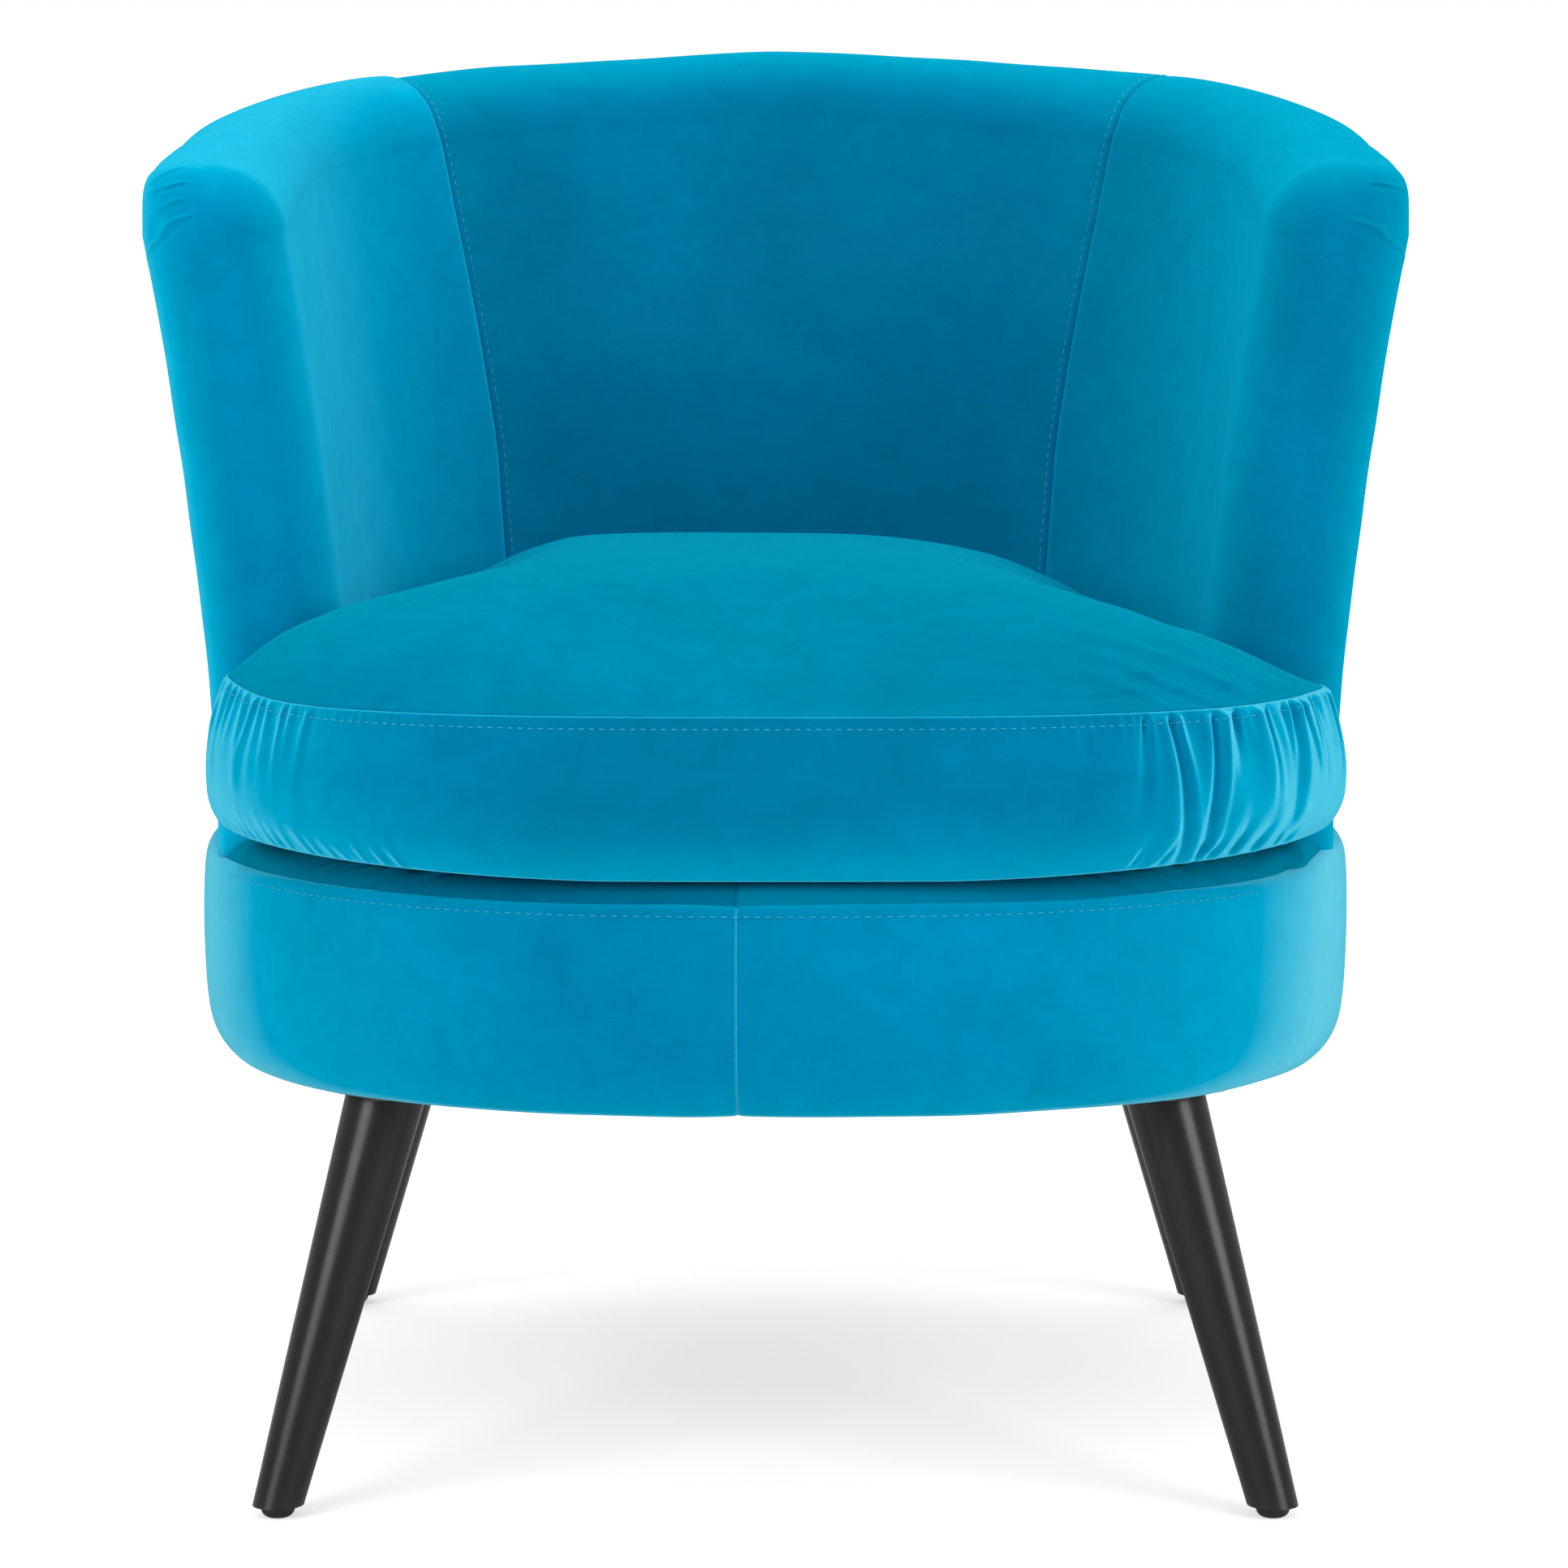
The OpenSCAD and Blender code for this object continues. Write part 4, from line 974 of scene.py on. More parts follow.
    def build(self) -> None:
        """Builds every panel of the shell."""
        self.centre_panel()
        low, high = self.pad_rows
        for side in Side:
            self.side_panel(side)
            runs = ((self.front_run + self.pad_margin) * side.value, (self.end_run - self.pad_margin) * side.value)
            self.pad(f"wing_pad_{side.word}", f"wing_roll_{side.word}", runs, (low, high), self.roll_pad)
        self.outer_panel()
        side_end = self.front_run - self.pad_margin
        self.pad("outer_pad", "outer_wadding", (-side_end, side_end), (1 - self.wall_share + 0.006, high),
                 self.outer_pad)
        self.stitches()


# The seat cushion


def seat_outline(front_half: float, front_reach: float, power: float, body: float, ears: float, rear: float,
                 rear_radius: float, inset: float = 0.0) -> Array:
    """Outline of the T-shaped seat: a rounded front with two ears, and a body between the wings.

    Args:
        front_half: Half width at the front.
        front_reach: Reach of the front from the middle.
        power: Power of the front's rounded form.
        body: Half width between the wings.
        ears: Distance of the ears' back edge ahead of the middle.
        rear: Reach of the rear.
        rear_radius: Radius of the rear's middle.
        inset: How far the whole outline is drawn in.

    Returns:
        Closed outline from the front's middle, turning right, evenly spaced.
    """
    ear, notch = 0.022, 0.030
    a, b = front_half - inset, front_reach - inset
    ear_y = ears + inset
    r = max(0.004, ear - inset)
    side, back, rr = body - inset, rear - inset, rear_radius - inset
    tip = ear_y + r
    tip_x = a * (1 - (tip / b) ** power) ** (1 / power)
    turn = notch + inset
    half: list[tuple[float, float]] = []
    full = math.acos((tip / b) ** (power / 2))
    for k in range(60):
        u = full * (k / 59) ** 0.9
        half.append((a * math.sin(u) ** (2 / power), -b * math.cos(u) ** (2 / power)))
    for k in range(1, 13):
        u = math.radians(90 * k / 12)
        half.append((tip_x - r + r * math.cos(u), -tip + r * math.sin(u)))
    for k in range(13):
        u = math.radians(90 * k / 12)
        half.append((side + turn - turn * math.sin(u), -ear_y + turn - turn * math.cos(u)))
    half += [(side, y) for y in np.linspace(-ear_y / 2, ear_y / 3, 8)]
    for u in np.radians(np.arange(20, 54, 3)):
        half.append((side * math.cos(u) ** (2 / SEAT_POWER), back * math.sin(u) ** (2 / SEAT_POWER)))
    for u in np.radians(np.arange(18, -0.1, -1.5)):
        half.append((rr * math.sin(u), back - rr + rr * math.cos(u)))
    whole = np.array(half + [(-x, y) for x, y in reversed(half[1:-1])])
    ring = np.vstack([whole, whole[:1]])
    run = run_along(ring)
    even = np.linspace(0, run[-1], OUTLINE_POINTS, endpoint=False)
    points = np.stack([np.interp(even, run, ring[:, k]) for k in range(2)], axis=1)
    width = 7
    padded = np.vstack([points[-width:], points, points[:width]])
    kernel = np.ones(2 * width + 1) / (2 * width + 1)
    return np.stack([np.convolve(padded[:, k], kernel, "valid") for k in range(2)], axis=1)


# How the cushion's cover behaves as cloth, held at its seams and a little too long for them
FULLNESS = {
    "use_pressure": True,
    "uniform_pressure_force": 4.0,
    "vertex_group_mass": "seam",
    "pin_stiffness": 1.0,
    "shrink_min": -0.02,
    "quality": 5,
    "tension_stiffness": 12.0,
    "compression_stiffness": 6.0,
    "bending_stiffness": 0.3,
}


@dataclass
class Cushion:
    """Loose T-shaped seat cushion: crowned top, boxing band and flat bottom over a soft pad."""

    half: float = 0.312
    front: float = 0.317
    power: float = 3.2
    body: float = 0.223
    ears: float = 0.156
    rear: float = 0.193
    rear_radius: float = 0.420
    bottom_z: float = 0.3425
    seam_z: float = 0.4265
    crown: float = 0.056
    crown_y: float = -0.060
    crown_depth: float = 0.262
    ear_lift: dict[Side, float] = field(default_factory=lambda: {Side.LEFT: 0.009, Side.RIGHT: 0.001})
    ear_inset: float = 0.0055
    bottom_lift: float = 0.011
    swell: float = 0.006
    centre_y: float = -0.170
    voxel: float = 0.0055
    most_move: float = 0.010
    pad_depth: float = 0.0052
    steps: int = 20
    calming: int = 10
    held_reach: float = 0.006
    held_height: dict[str, float] = field(default_factory=lambda: {"top": 0.006, "bottom": 0.004})
    ball_top: float = 0.42
    ball_band: float = 0.58
    zip_z: float = 0.3845
    zip_turn: float = 0.2967
    zip_reach: float = 0.015
    zip_fade: float = 0.005
    zip_turn_fade: float = 0.01
    zip_clearance: float = 0.004
    outline: Array = field(init=False)
    perimeter: float = field(init=False)
    moves: Callable[[Array], Array] | None = None

    def __post_init__(self) -> None:
        """Works out the outline and its length."""
        self.outline = seat_outline(self.half, self.front, self.power, self.body, self.ears, self.rear,
                                    self.rear_radius)
        closed = np.vstack([self.outline, self.outline[:1]])
        self.perimeter = float(np.linalg.norm(np.diff(closed, axis=0), axis=1).sum())

    def edge(self, share: Array) -> Array:
        """Outline points at shares of the perimeter, from the front's middle to the right."""
        n = len(self.outline)
        at = np.mod(share, 1.0) * n
        i = np.floor(at).astype(int) % n
        k = (at - np.floor(at))[:, None]
        return self.outline[i] * (1 - k) + self.outline[(i + 1) % n] * k

    def crown_at(self, x: Array, y: Array) -> Array:
        """Share of the crown's height over points of the plan, fuller on its left shoulder."""
        left = self.left_share(x)
        k = left * unit((-0.120 - y) / 0.035) + (1 - left) * unit((-0.100 - y) / 0.090)
        w = self.body + 0.006 + (self.half - self.body - 0.006 * left) * k
        full = 2.6 + 1.8 * left
        across = np.maximum(0, 1 - np.abs(x / w) ** full)
        return across * np.maximum(0, 1 - np.abs((y - self.crown_y) / self.crown_depth) ** 3)

    def seam_level(self, points: Array) -> Array:
        """Height of the top seam, which is pushed up where the ears meet the wings.

        Args:
            points: Plan points, a row each.

        Returns:
            Heights in metres.
        """
        at_ear = unit((np.abs(points[:, 0]) - self.body) / 0.075) ** 2
        near_wing = bell((points[:, 1] + self.ears) / 0.075)
        lift = np.where(points[:, 0] < 0, self.ear_lift[Side.LEFT], self.ear_lift[Side.RIGHT])
        return self.seam_z + lift * at_ear * near_wing

    def top(self, share: Array, s: Array) -> Array:
        """Points of the crowned top.

        Args:
            share: Share of the perimeter.
            s: From 0 at the middle to 1 at the seam.

        Returns:
            Points, a row each.
        """
        e = self.edge(share)
        e = e - self.outwards(e) * self.seam_inset(e)[:, None]
        x = e[:, 0] * s
        y = self.centre_y + (e[:, 1] - self.centre_y) * s
        fall = 7 + 8 * self.left_share(x)
        z = self.seam_level(np.stack([x, y], axis=1)) + self.crown * self.crown_at(x, y) * (1 - unit(s) ** fall)
        return np.stack([x, y, z], axis=1)

    def left_share(self, x: Array) -> Array:
        """Goes from 1 on the cushion's left, which is stuffed fuller, to 0 on its right."""
        return 0.5 - 0.5 * np.tanh(x / 0.06)

    def outwards(self, e: Array) -> Array:
        """Level direction away from the cushion's middle at outline points."""
        away = np.stack([e[:, 0], e[:, 1] - self.crown_y], axis=1)
        return away / np.linalg.norm(away, axis=1, keepdims=True)

    def behind_zip(self, points: Array, depth: float = 0.0) -> Array:
        """Holds points back behind the zip's tape where they lie along it.

        Args:
            points: Points, a row each.
            depth: How far behind the tape they are held.

        Returns:
            The points, held back.
        """
        from_axis = points[:, :2] - np.array([0.0, self.rear - self.rear_radius])
        radius = np.linalg.norm(from_axis, axis=1)
        turn = np.abs(np.arctan2(from_axis[:, 0], from_axis[:, 1]))
        along = unit((self.zip_turn + 2 * self.zip_turn_fade - turn) / self.zip_turn_fade)
        above = np.abs(points[:, 2] - self.zip_z)
        across = unit((self.zip_reach + self.zip_fade - above) / self.zip_fade)
        past = np.maximum(0, radius - self.rear_radius + depth) * along * across
        held = points.copy()
        held[:, :2] -= from_axis / radius[:, None] * past[:, None]
        return held

    def seam_inset(self, e: Array) -> Array:
        """How far the top seam lies inside the outline at its points: most at the ears."""
        return self.ear_inset * unit((np.abs(e[:, 0]) - 0.225) / 0.06)

    def bottom_level(self, e: Array) -> Array:
        """Height of the bottom seam at outline points: it curls up towards the ears."""
        side = unit((np.abs(e[:, 0]) - 0.09) / 0.21) ** 1.4
        return self.bottom_z + self.bottom_lift * side * unit((-0.115 - e[:, 1]) / 0.035)

    def band(self, share: Array, k: Array) -> Array:
        """Points of the boxing band, from 0 at the bottom seam to 1 at the top seam."""
        e = self.edge(share)
        front = unit((-self.ears + 0.004 - e[:, 1]) / 0.012)
        round_under = 0.9 * unit(1 - k / 0.25) ** 2
        swell = self.swell * (np.sin(math.pi * unit(k) ** 0.85) - round_under) * front
        xy = e + self.outwards(e) * (swell - self.seam_inset(e) * unit(k) ** 1.5)[:, None]
        low = self.bottom_level(e)
        z = low + (self.seam_level(xy) - low) * k
        return np.stack([xy[:, 0], xy[:, 1], z], axis=1)

    def simulate(self) -> bpy.types.Object:
        """Blows the pad up as cloth, so that its cover gets its own fullness and puckers.

        Returns:
            The pad, a little inside the cover.
        """
        bm = bmesh.new()
        bmesh.ops.create_uvsphere(bm, u_segments=240, v_segments=80, radius=1)
        for v in bm.verts:
            turn = math.atan2(v.co.x, -v.co.y) / (2 * math.pi)
            fall = math.acos(max(-1, min(1, v.co.z))) / math.pi
            share = np.array([turn % 1.0])
            if fall < self.ball_top:
                p = self.top(share, np.array([fall / self.ball_top]))[0]
            elif fall < self.ball_band:
                p = self.band(share, np.array([(self.ball_band - fall) / (self.ball_band - self.ball_top)]))[0]
            else:
                s = (1 - fall) / (1 - self.ball_band)
                p = self.top(share, np.array([s]))[0]
                p[2] = self.bottom_z + (self.bottom_level(self.edge(share))[0] - self.bottom_z) * s**6
            v.co = p
        pad = finished("cushion_pad", bm, "white_wadding", Body.CUSHION)
        start, end = self.blown(pad)
        tree = kdtree.KDTree(len(start))
        for i, p in enumerate(start):
            tree.insert(p, i)
        tree.balance()
        step = end - start

        def moves(points: Array) -> Array:
            out = np.zeros((len(points), 3))
            for row, p in enumerate(points):
                near = tree.find_n(p, 5)
                weight = np.array([1 / (d + 0.002) ** 2 for _, _, d in near])
                out[row] = (step[[i for _, i, _ in near]] * weight[:, None]).sum(0) / weight.sum()
            return out

        self.moves = moves
        return pad

    def blown(self, pad: bpy.types.Object) -> tuple[Array, Array]:
        """Runs the cloth on the pad and leaves the result in its mesh.

        Args:
            pad: The pad's object.

        Returns:
            The points before and after.
        """
        remesh = pad.modifiers.new("even_cells", "REMESH")
        remesh.mode = "VOXEL"
        remesh.voxel_size = self.voxel
        bpy.context.view_layer.objects.active = pad
        with bpy.context.temp_override(object=pad, active_object=pad, selected_objects=[pad]):
            bpy.ops.object.modifier_apply(modifier=remesh.name)
        count = len(pad.data.vertices)
        start = np.zeros(count * 3)
        pad.data.vertices.foreach_get("co", start)
        start = start.reshape(-1, 3)
        end = start.copy()
        end = self.pressed(pad, start)
        normals = np.zeros(count * 3)
        pad.data.vertices.foreach_get("normal", normals)
        inner = self.behind_zip(end - normals.reshape(-1, 3) * self.pad_depth, self.zip_clearance)
        pad.data.vertices.foreach_set("co", inner.astype(np.float32).ravel())
        for f in pad.data.polygons:
            f.use_smooth = True
        pad.data.update()
        return start, end

    def pressed(self, pad: bpy.types.Object, start: Array) -> Array:
        """Steps the cloth under pressure, with the fabric a little long against its seams.

        Args:
            pad: The pad's object.
            start: Its points before.

        Returns:
            Its points after, each moved no further than most_move.
        """
        seam = pad.vertex_groups.new(name="seam")
        near_top = np.abs(start[:, 2] - self.seam_z) < self.held_height["top"]
        near_bottom = np.abs(start[:, 2] - self.bottom_z) < self.held_height["bottom"]
        centre = np.array([0.0, self.centre_y])
        plan = start[:, :2] - centre
        ring = self.outline - centre
        ring_turn = np.arctan2(ring[:, 0], -ring[:, 1])
        order = np.argsort(ring_turn)
        radius = np.interp(np.arctan2(plan[:, 0], -plan[:, 1]), ring_turn[order],
                           np.linalg.norm(ring, axis=1)[order], period=2 * math.pi)
        at_edge = np.linalg.norm(plan, axis=1) > radius - self.held_reach
        held = np.flatnonzero((near_top | near_bottom) & at_edge)
        seam.add([int(i) for i in held], 1.0, "REPLACE")
        cloth = pad.modifiers.new("fullness", "CLOTH")
        cloth.settings.effector_weights.gravity = 0.0
        for name, value in FULLNESS.items():
            setattr(cloth.settings, name, value)
        cloth.point_cache.frame_start = 1
        cloth.point_cache.frame_end = self.steps
        scene = bpy.context.scene
        for number in range(1, self.steps + 1):
            scene.frame_set(number)
        shown = pad.evaluated_get(bpy.context.evaluated_depsgraph_get())
        end = np.zeros(len(start) * 3)
        shown.data.vertices.foreach_get("co", end)
        end = end.reshape(-1, 3)
        pad.modifiers.remove(cloth)
        scene.frame_set(1)
        step = self.calmed(pad, end - start)
        size = np.linalg.norm(step, axis=1, keepdims=True)
        log.info("cushion crown at %.1f mm", (start + step)[:, 2].max() * 1000)
        log.info("cushion cloth moved %.1f mm at most, %.1f mm on average", size.max() * 1000, size.mean() * 1000)
        step *= np.minimum(1.0, self.most_move / np.maximum(size, 1e-9))
        step[:, 2] = np.where(start[:, 2] < self.bottom_z + 0.002, np.maximum(step[:, 2], 0), step[:, 2])
        return start + step

    def calmed(self, pad: bpy.types.Object, step: Array) -> Array:
        """Evens the cloth's movement out over the mesh, so that only its broad swellings stay.

        Args:
            pad: The pad's object.
            step: Movement of each of its points.

        Returns:
            The movement, evened out.
        """
        ends = np.zeros(len(pad.data.edges) * 2, dtype=np.int32)
        pad.data.edges.foreach_get("vertices", ends)
        a, b = ends.reshape(-1, 2).T
        count = np.bincount(ends, minlength=len(step))[:, None]
        for _ in range(self.calming):
            total = np.zeros_like(step)
            np.add.at(total, a, step[b])
            np.add.at(total, b, step[a])
            step = 0.4 * step + 0.6 * total / np.maximum(count, 1)
        return step

    def gathers(self) -> list[Fold]:
        """Gathers of the band: fine pleats at the left ear, deep ones at the right, short ones between.

        Returns:
            Folds on the band's map of run from the front's middle and height over the bottom seam.
        """
        rng = np.random.default_rng(7)
        depth = self.seam_z - self.bottom_z
        folds = []
        for low, high, count, length, width, height, rising in (
            (-0.395, -0.245, 15, 0.072, 0.0034, 0.0018, False), (-0.300, -0.120, 26, 0.011, 0.0016, 0.0008, False),
            (0.195, 0.385, 7, 0.090, 0.0090, 0.0046, False), (0.185, 0.390, 13, 0.050, 0.0042, 0.0018, False),
            (0.262, 0.350, 6, 0.080, 0.0030, -0.0026, False), (0.180, 0.300, 8, 0.022, 0.0026, -0.0020, True),
            (0.090, 0.200, 14, 0.020, 0.0019, 0.0010, False), (-0.120, 0.090, 8, 0.007, 0.0016, 0.0004, False),
            (-0.360, -0.190, 18, 0.022, 0.0024, 0.0016, True), (0.190, 0.300, 7, 0.034, 0.0042, 0.0024, True),
        ):
            for k in range(count):
                at = low + (high - low) * (k + rng.uniform(0.15, 0.85)) / count
                heading = rng.uniform(-0.16, 0.16) + (math.pi / 2 - 0.45 * np.sign(at) if rising else -math.pi / 2)
                from_seam = 0.001 if height > 0 else 0.006
                folds.append(Fold(at, from_seam if rising else depth - from_seam, heading,
                                  length * rng.uniform(0.7, 1.2), width * rng.uniform(0.8, 1.25),
                                  height * rng.uniform(0.6, 1.15)))
        valleys = ((0.188, -0.12, 0.060, 0.0030, -0.0034), (0.203, 0.10, 0.200, 0.0040, -0.0054),
                   (0.229, -0.10, 0.220, 0.0040, -0.0056), (0.244, -0.16, 0.036, 0.0030, -0.0030),
                   (0.292, -0.12, 0.110, 0.0042, -0.0040))
        folds += [Fold(at, depth - 0.006, slant - math.pi / 2, length, width, height)
                  for at, slant, length, width, height in valleys]
        return folds

    def soft_creases(self) -> list[Fold]:
        """Slanting folds of the top panel near its ears, by run from the middle and distance from the seam."""
        creases = ((0.232, 0.55, 0.090, 0.006, 0.0026), (0.262, 0.45, 0.110, 0.008, 0.0030),
                   (0.290, 0.40, 0.080, 0.006, 0.0020), (0.325, 0.30, 0.090, 0.007, 0.0022),
                   (0.205, 0.60, 0.050, 0.005, 0.0014), (-0.300, -0.35, 0.060, 0.006, 0.0012),
                   (-0.340, -0.30, 0.050, 0.005, 0.0014))
        return [Fold(at, 0.004, math.pi / 2 + slant, length, width, height)
                for at, slant, length, width, height in creases]

    def signed_run(self, share: Array) -> Array:
        """Run from the front's middle, in metres and negative on the left, at shares of the perimeter."""
        return (np.mod(share + 0.5, 1.0) - 0.5) * self.perimeter

    def square_to_ring(self, u: Array, v: Array) -> tuple[Array, Array]:
        """Lays a square grid on the round plan.

        Args:
            u: First share of each point of the square.
            v: Second share.

        Returns:
            Shares of the perimeter, and of the way from the middle to the seam.
        """
        a, b = u * 2 - 1, v * 2 - 1
        s = np.maximum(np.abs(a), np.abs(b))
        sideways = np.abs(a) > np.abs(b)
        along = np.where(sideways, b / np.maximum(np.abs(a), 1e-9), a / np.maximum(np.abs(b), 1e-9))
        share = np.where(~sideways & (b < 0), along / 8, 0.0)
        share = np.where(sideways & (a > 0), 0.25 + along / 8, share)
        share = np.where(~sideways & (b >= 0), 0.5 - along / 8, share)
        share = np.where(sideways & (a < 0), 0.75 - along / 8, share)
        return np.mod(share, 1.0), s

    def top_panel(self) -> None:
        """Builds the crowned panel of the seat."""
        folds = self.soft_creases()

        def height(share: Array, s: Array) -> Array:
            away = (1 - s) * np.linalg.norm(self.edge(share) - np.array([0.0, self.centre_y]), axis=1)
            creases = folds_rise(folds, self.signed_run(share), away) * unit(away / 0.014)
            inner = self.top(share, s)
            return (seam_rise(away, 0.002) + creases
                    + 0.0008 * ripple(inner[:, 0], inner[:, 1], 18, 0.9) * unit(away / 0.03))

        def place(u: Array, v: Array) -> Placed:
            share, s = self.square_to_ring(packed_toward_ends(u, 0.7), packed_toward_ends(v, 0.7))
            base = self.top(share, s)
            points = base + self.moves(base) * unit((1 - s) / 0.03)[:, None]
            points[:, 2] += height(share, s) * 0.9
            return points, base[:, 0], base[:, 1]

        velvet_panel("cushion_top_velvet", grid_mesh(214, 214, place), "velvet_seat", Body.CUSHION,
                     "cushion_top_panel")

    def bottom_panel(self) -> None:
        """Builds the flat panel under the cushion."""
        def place(u: Array, v: Array) -> Placed:
            share, s = self.square_to_ring(u, v)
            e = self.band(share, np.zeros(len(share)))
            x = e[:, 0] * s
            y = self.centre_y + (e[:, 1] - self.centre_y) * s
            z = self.bottom_z + (self.bottom_level(self.edge(share)) - self.bottom_z) * s**6
            return np.stack([x, y, z], axis=1), x, y

        velvet_panel("cushion_bottom_velvet", grid_mesh(80, 80, place), "velvet_seat", Body.CUSHION,
                     "cushion_bottom_panel", flip=True)

    def band_panel(self) -> None:
        """Builds the gathered boxing band and its topstitch."""
        folds = self.gathers()
        tall = self.seam_z - self.bottom_z

        def height(share: Array, k: Array) -> Array:
            front = unit((-self.ears + 0.02 - self.edge(share)[:, 1]) / 0.04)
            up, edge = k * tall, (1 - k) * tall
            tied = (1 - 0.9 * bell(edge / 0.003)) * (1 - 0.8 * bell(up / 0.003))
            return (seam_rise(edge, 0.0015) + 0.0008 * bell(edge / 0.0012)
                    + folds_rise(folds, self.signed_run(share), up) * tied) * front

        def place(u: Array, v: Array) -> Placed:
            k = packed_toward_ends(v, 0.5)
            share = np.interp(u, (0.0, 0.4, 0.6, 1.0), (0.0, 0.225, 0.775, 1.0))
            points = lifted(self.band, share, k, height(share, k))
            points = self.behind_zip(points + self.moves(points) * 0.5 * np.sin(math.pi * k)[:, None])
            points[:, 2] = np.maximum(points[:, 2], self.bottom_level(self.edge(share)) - 0.0002)
            return points, self.signed_run(share), points[:, 2]

        velvet_panel("cushion_band_velvet", grid_mesh(1000, 44, place), "velvet_band", Body.CUSHION,
                     "cushion_boxing", merge=JOIN)
        share = np.linspace(-0.19, 0.18, 1500)
        level = np.full(len(share), 0.925)
        path = lifted(self.band, share, level, height(share, level) + THREAD_LIFT)
        path = path + self.moves(path) * 0.5 * math.sin(math.pi * level[0])
        StitchLine("cushion_stitches", Body.CUSHION, length=0.0036, spacing=0.0052).build(path)

    def build(self) -> None:
        """Builds the pad and the three panels of its cover."""
        padding(self.simulate(), 0.75, "cushion_core", "cushion_wrap")
        self.top_panel()
        self.bottom_panel()
        self.band_panel()


# The round base


@dataclass
class Base:
    """Upholstered drum: a border in two panels, the deck's cloth, and a strip over the deck's front edge."""

    half: float = 0.316
    power: float = 2.5
    seam_z: float = 0.326
    board_z: float = 0.222
    flange_z: float = 0.2199
    deck_half: float = 0.309
    deck_top: float = 0.3422
    deck_edge: float = 0.022
    deck_body: float = 0.2247
    deck_ears: float = 0.153
    deck_rear: float = 0.199
    deck_radius: float = 0.420
    deck_middle: float = -0.170
    deck_foot: int = 6
    deck_tuck: tuple[float, float] = (0.166, 0.006)
    deck_ear: tuple[float, float] = (0.268, 0.014)
    deck_levels: tuple[tuple[float, float], ...] = (
        (0.026, 0.3422), (0.0245, 0.3419), (0.023, 0.3414), (0.016, 0.3402), (0.0105, 0.3393), (0.005, 0.3351),
        (0.0034, 0.3318), (0.0, 0.3318), (-0.004, 0.3322), (-0.014, 0.3340), (-0.028, 0.3368))
    seam_x: float = -0.020
    seam_drop: float = 0.007
    facing_end: float = 0.040
    tuck_start: float = 0.138
    covered: float = 0.25
    puff: float = 0.0016
    swelling: float = 0.0055
    swelling_at: float = 1.20
    swelling_reach: tuple[float, float] = (0.13, 0.22)
    border_run: float = 0.12
    strip_run: float = 0.04
    stitch_turns: tuple[float, float] = (-1.09, 0.85)

    def profile(self) -> Array:
        """Outer face of the border as rows of half width and height, from the top seam down."""
        h, s, b = self.half, self.seam_z, self.board_z
        lip = [(h - 0.0200, s + 0.0012), (h - 0.0130, s + 0.0016), (h - 0.0090, s + 0.0036),
               (h - 0.0050, s + 0.0034)]
        face = [(h - 0.0020, s - 0.0010), (h - 0.0006, s - 0.014), (h, s - 0.038), (h - 0.0006, b + 0.046),
                (h - 0.0018, b + 0.027), (h - 0.0042, b + 0.012), (h - 0.0085, b + 0.0032)]
        flange = [(h - 0.0135, self.flange_z), (h - 0.0255, self.flange_z)]
        return rounded_line(lip + face + flange, 2)

    def facing_profile(self) -> Array:
        """Face of the deck's strip as rows of depth from the edge and height, from the seam inwards."""
        low = self.seam_z - self.seam_drop
        top = self.deck_top
        return rounded_line([(-0.0046, low), (-0.0042, low + 0.004), (-0.0022, low + 0.010),
                             (0.0016, top - 0.0052), (0.0065, top - 0.0014), (0.014, top),
                             (self.deck_edge, top)], 3)

    def swept(self, line: Array, half: float | None = None) -> Surface:
        """Surface of a profile carried round the base's rounded plan.

        Args:
            line: Rows of half width, or of depth where half is given, and height.
            half: Half width from which the depths are taken.

        Returns:
            Function of the angle from the front, in radians, and the share along the profile.
        """
        run = run_along(line)
        run /= run[-1]

        def at(turn: Array, share: Array) -> Array:
            wide = np.interp(share, run, line[:, 0])
            wide = wide if half is None else half - wide
            z = np.interp(share, run, line[:, 1])
            n = self.power
            r = wide * (np.abs(np.sin(turn)) ** n + np.abs(np.cos(turn)) ** n) ** (-1 / n)
            return np.stack([r * np.sin(turn), -r * np.cos(turn), z], axis=1)

        return at

    def border_panel(self, side: Side) -> None:
        """Builds half of the border, from the front seam round to the rear one.

        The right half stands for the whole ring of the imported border.

        Args:
            side: Which half.
        """
        surface = self.swept(self.profile())
        wide, high = self.swelling_reach
        start = math.atan2(self.seam_x, self.half)
        end = math.pi if side is Side.RIGHT else -math.pi

        def place(u: Array, v: Array) -> Placed:
            turn = start + (end - start) * packed_toward_ends(u, 0.8)
            from_seam = np.minimum(np.abs(turn - start), np.abs(end - turn)) * self.half
            points = lifted(surface, turn, v, self.border_height(turn, v, from_seam), flip=True)
            points[:, 2] += self.swelling * bell(np.hypot((turn - self.swelling_at) / wide, v / high))
            return points, turn * self.half, v * self.border_run

        stands_for = ("base_border_cover",) if side is Side.RIGHT else ()
        velvet_panel(f"border_{side.word}_velvet", grid_mesh(240, 70, place), "velvet_base", Body.FRAME,
                     *stands_for, flip=side is Side.RIGHT)

    def border_height(self, turn: Array, share: Array, from_seam: Array) -> Array:
        """Swelling and unevenness of the border's padding.

        Args:
            turn: Angle from the front.
            share: Share down the profile.
            from_seam: Distance from the nearest upright seam.

        Returns:
            Heights in metres.
        """
        inside = unit(share / 0.12) * unit((1 - share) / 0.1)
        swell = seam_rise(from_seam, self.puff) * inside
        lower = bell((share - 0.82) / 0.1)
        waves = 0.0007 * ripple(turn * self.half, share * self.border_run, 38, 0.3) * inside
        return swell + waves + 0.0009 * lower * ripple(turn * self.half, share * 0.02, 60, 2.9)

